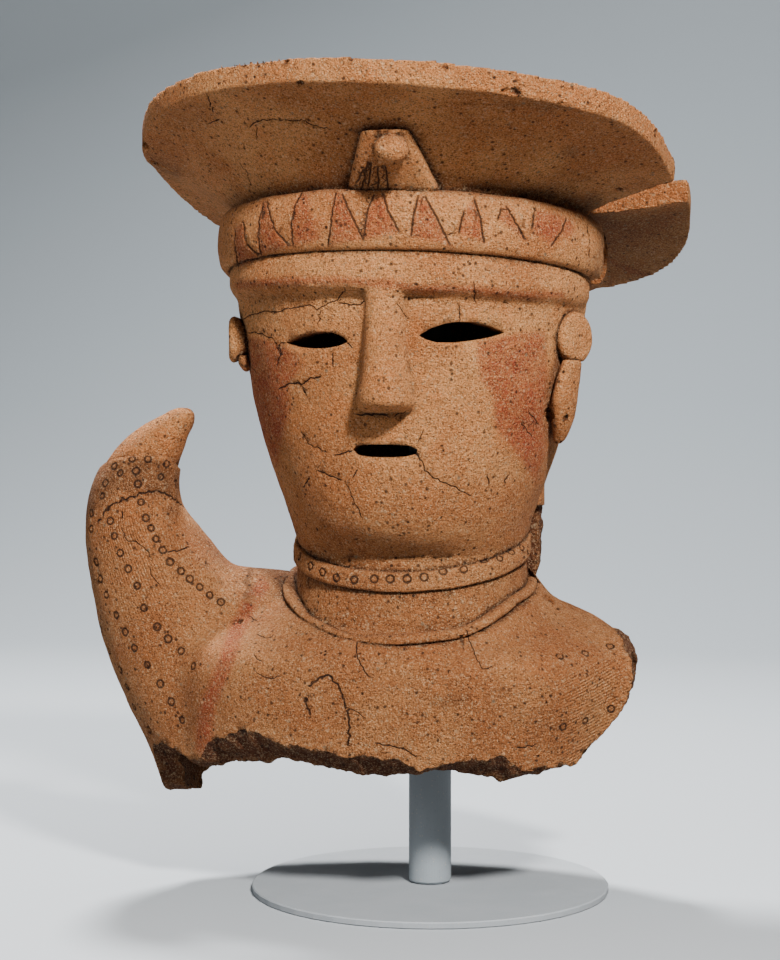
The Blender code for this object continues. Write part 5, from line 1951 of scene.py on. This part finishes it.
def linear(red, green, blue):
    """A colour as a screen shows it, 0 to 255, as the numbers that light uses."""
    return tuple((c / 255 / 12.92) if c <= 10 else ((c / 255 + 0.055) / 1.055) ** 2.4 for c in (red, green, blue))


def colour_property(name, description, value):
    return bpy.props.FloatVectorProperty(
        name=name, description=description, subtype="COLOR", size=3, min=0.0, max=1.0, default=linear(*value)
    )


def number_property(name, description, value, **kind):
    return bpy.props.FloatProperty(name=name, description=description, default=value, min=0.0, **kind)


def length_property(name, description, value):
    return number_property(name, description, value, unit="LENGTH", precision=5)


def power_property(name, description, value):
    return number_property(name, description, value, unit="POWER")


def share_property(name, description, value):
    return number_property(name, description, value, subtype="FACTOR")


class HaniwaSizes(bpy.types.PropertyGroup):
    """Sizes of the figure's clay and of the marks pressed into it."""

    wall: length_property("Wall", "Thickness of the hollow figure's clay wall", 0.010)
    fineness: length_property("Fineness", "Smallest form that the body of the clay keeps", 0.0012)
    ring_diameter: length_property("Ring", "Across a ring stamp on the robe", 0.0031)
    bead_ring_diameter: length_property("Bead ring", "Across a ring stamp on the choker", 0.0034)
    groove_width: length_property("Ring groove", "Across the groove of a ring stamp", 0.0009)
    ring_depth: length_property("Ring depth", "How deep the ring stamps go", 0.0008)
    stroke_width: length_property("Stroke", "Across a stroke in the hair band or comb", 0.0010)
    stroke_depth: length_property("Stroke depth", "How deep the strokes go", 0.0008)
    crack_width: length_property("Crack", "Across a crack", 0.00055)
    crack_depth: length_property("Crack depth", "How deep the cracks go", 0.0009)
    seam_width: length_property("Seam", "Across the seam beside a form that was laid on", 0.0011)
    seam_depth: length_property("Seam depth", "How deep the seams go", 0.0007)


class HaniwaColours(bpy.types.PropertyGroup):
    """Colours of the clay, what is on it and the stand."""

    clay_light: colour_property("Light clay", "The lightest fired clay", (224, 152, 92))
    clay_brown: colour_property("Brown clay", "The browner patches", (194, 121, 68))
    clay_orange: colour_property("Orange clay", "The redder patches", (208, 122, 64))
    # Also painted as shade on the inner faces and in sheltered hollows.
    clay_dark_and_shade: colour_property("Dark clay", "Clay that holds dirt", (108, 58, 32))
    red_pigment: colour_property("Red pigment", "What is left of the red paint", (158, 56, 32))
    # Also used for painted shade in the creases and under the rear of the hair board.
    soot: colour_property("Soot", "Soot, and dirt in cracks", (48, 30, 22))
    # Darker than the broken clay alone, as painted shade on the breaks.
    core: colour_property("Core", "Clay where it is broken", (70, 42, 30))
    sand: colour_property("Sand", "Pale grains in the clay", (240, 206, 160))
    stand_paint: colour_property("Stand paint", "Paint on the post and its foot", (142, 149, 154))
    foot_paint: colour_property("Foot paint", "Paint on the foot, matched to the floor", (166, 170, 174))
    paint_worn: colour_property("Worn paint", "Paint where hands have rubbed it", (138, 146, 151))


class HaniwaStage(bpy.types.PropertyGroup):
    """The floor, the backdrop and the lights."""

    floor: colour_property("Floor", "The paper near the camera", (190, 194, 198))
    # Darker than the floor as painted shade of the light's fall-off up the paper.
    backdrop: colour_property("Backdrop", "The paper behind", (160, 168, 174))
    key_power: power_property("Key light", "Power of the light from the right", 52.0)
    fill_power: power_property("Fill light", "Power of the light from the left", 4.5)
    top_power: power_property("Top light", "Power of the light overhead", 50.0)
    backdrop_power: power_property("Backdrop light", "Power of the light on the paper behind", 6.0)
    sky: share_property("Surround", "Strength of the light from all round", 0.09)
    bounce: share_property("Bounce", "Share of its light that the paper throws on the figure", 0.45)


SETTINGS = {"haniwa_sizes": HaniwaSizes, "haniwa_colours": HaniwaColours, "haniwa_stage": HaniwaStage}


class HANIWA_OT_figure(bpy.types.Operator):
    """Build the broken clay figure, with its marks, pigment and breaks"""

    bl_idname = "haniwa.figure"
    bl_label = "Clay figure"

    def execute(self, context):
        made = build_figure(context.scene.haniwa_sizes, context.scene.haniwa_colours)
        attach(made, "root")
        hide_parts("haniwa_figure")
        return {"FINISHED"}


class HANIWA_OT_stand(bpy.types.Operator):
    """Paint the steel post and its foot"""

    bl_idname = "haniwa.stand"
    bl_label = "Stand"

    def execute(self, context):
        colours = context.scene.haniwa_colours
        for name, colour in (("stand_post", colours.stand_paint), ("stand_foot", colours.foot_paint)):
            for place_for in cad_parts[name].material_slots:
                place_for.material = paint_material(name + "_paint", colour, colours, shared_groups())
        return {"FINISHED"}


class HANIWA_OT_stage(bpy.types.Operator):
    """Lay the pale paper, hang the lights and set the camera"""

    bl_idname = "haniwa.stage"
    bl_label = "Stage"

    def execute(self, context):
        stage = context.scene.haniwa_stage
        sweep("studio_sweep", 3.0, -1.6, 1.7, 2.6, 0.7, backdrop_material(stage))
        lamp("key", (0.58, -1.15, 1.1), (0.0, 0.0, 0.2), 0.2, stage.key_power, (1.0, 0.985, 0.96))
        lamp("fill", (-0.95, -0.85, 0.7), (0.0, 0.0, 0.2), 0.6, stage.fill_power, (0.93, 0.97, 1.0))
        lamp("top", (-0.36, 0.62, 1.35), (0.0, 0.0, 0.15), 0.25, stage.top_power, (1.0, 1.0, 1.0))
        lamp("backdrop light", (0.4, 0.75, 1.9), (0.3, 1.6, 0.1), 1.0, stage.backdrop_power, (1.0, 1.0, 1.0))
        context.scene.world = surround_light(stage)
        camera()
        return {"FINISHED"}


class HANIWA_PT_panel(bpy.types.Panel):
    """Sizes, colours and the steps that build the haniwa bust"""

    bl_label = "Haniwa bust"
    bl_idname = "HANIWA_PT_panel"
    bl_space_type = "VIEW_3D"
    bl_region_type = "UI"
    bl_category = "Haniwa"

    def draw(self, context):
        for group in SETTINGS:
            column = self.layout.column()
            settings = getattr(context.scene, group)
            for name in settings.__annotations__:
                column.prop(settings, name)
        for operator in ("haniwa.figure", "haniwa.stand", "haniwa.stage"):
            self.layout.operator(operator)


CLASSES = (*SETTINGS.values(), HANIWA_OT_figure, HANIWA_OT_stand, HANIWA_OT_stage, HANIWA_PT_panel)


def register():
    for made in CLASSES:
        bpy.utils.register_class(made)
    for name, group in SETTINGS.items():
        setattr(bpy.types.Scene, name, bpy.props.PointerProperty(type=group))


def unregister():
    for name in SETTINGS:
        delattr(bpy.types.Scene, name)
    for made in reversed(CLASSES):
        bpy.utils.unregister_class(made)


def main():
    register()
    bpy.ops.haniwa.stage()
    bpy.ops.haniwa.stand()
    bpy.ops.haniwa.figure()


if __name__ == "__main__":
    main()
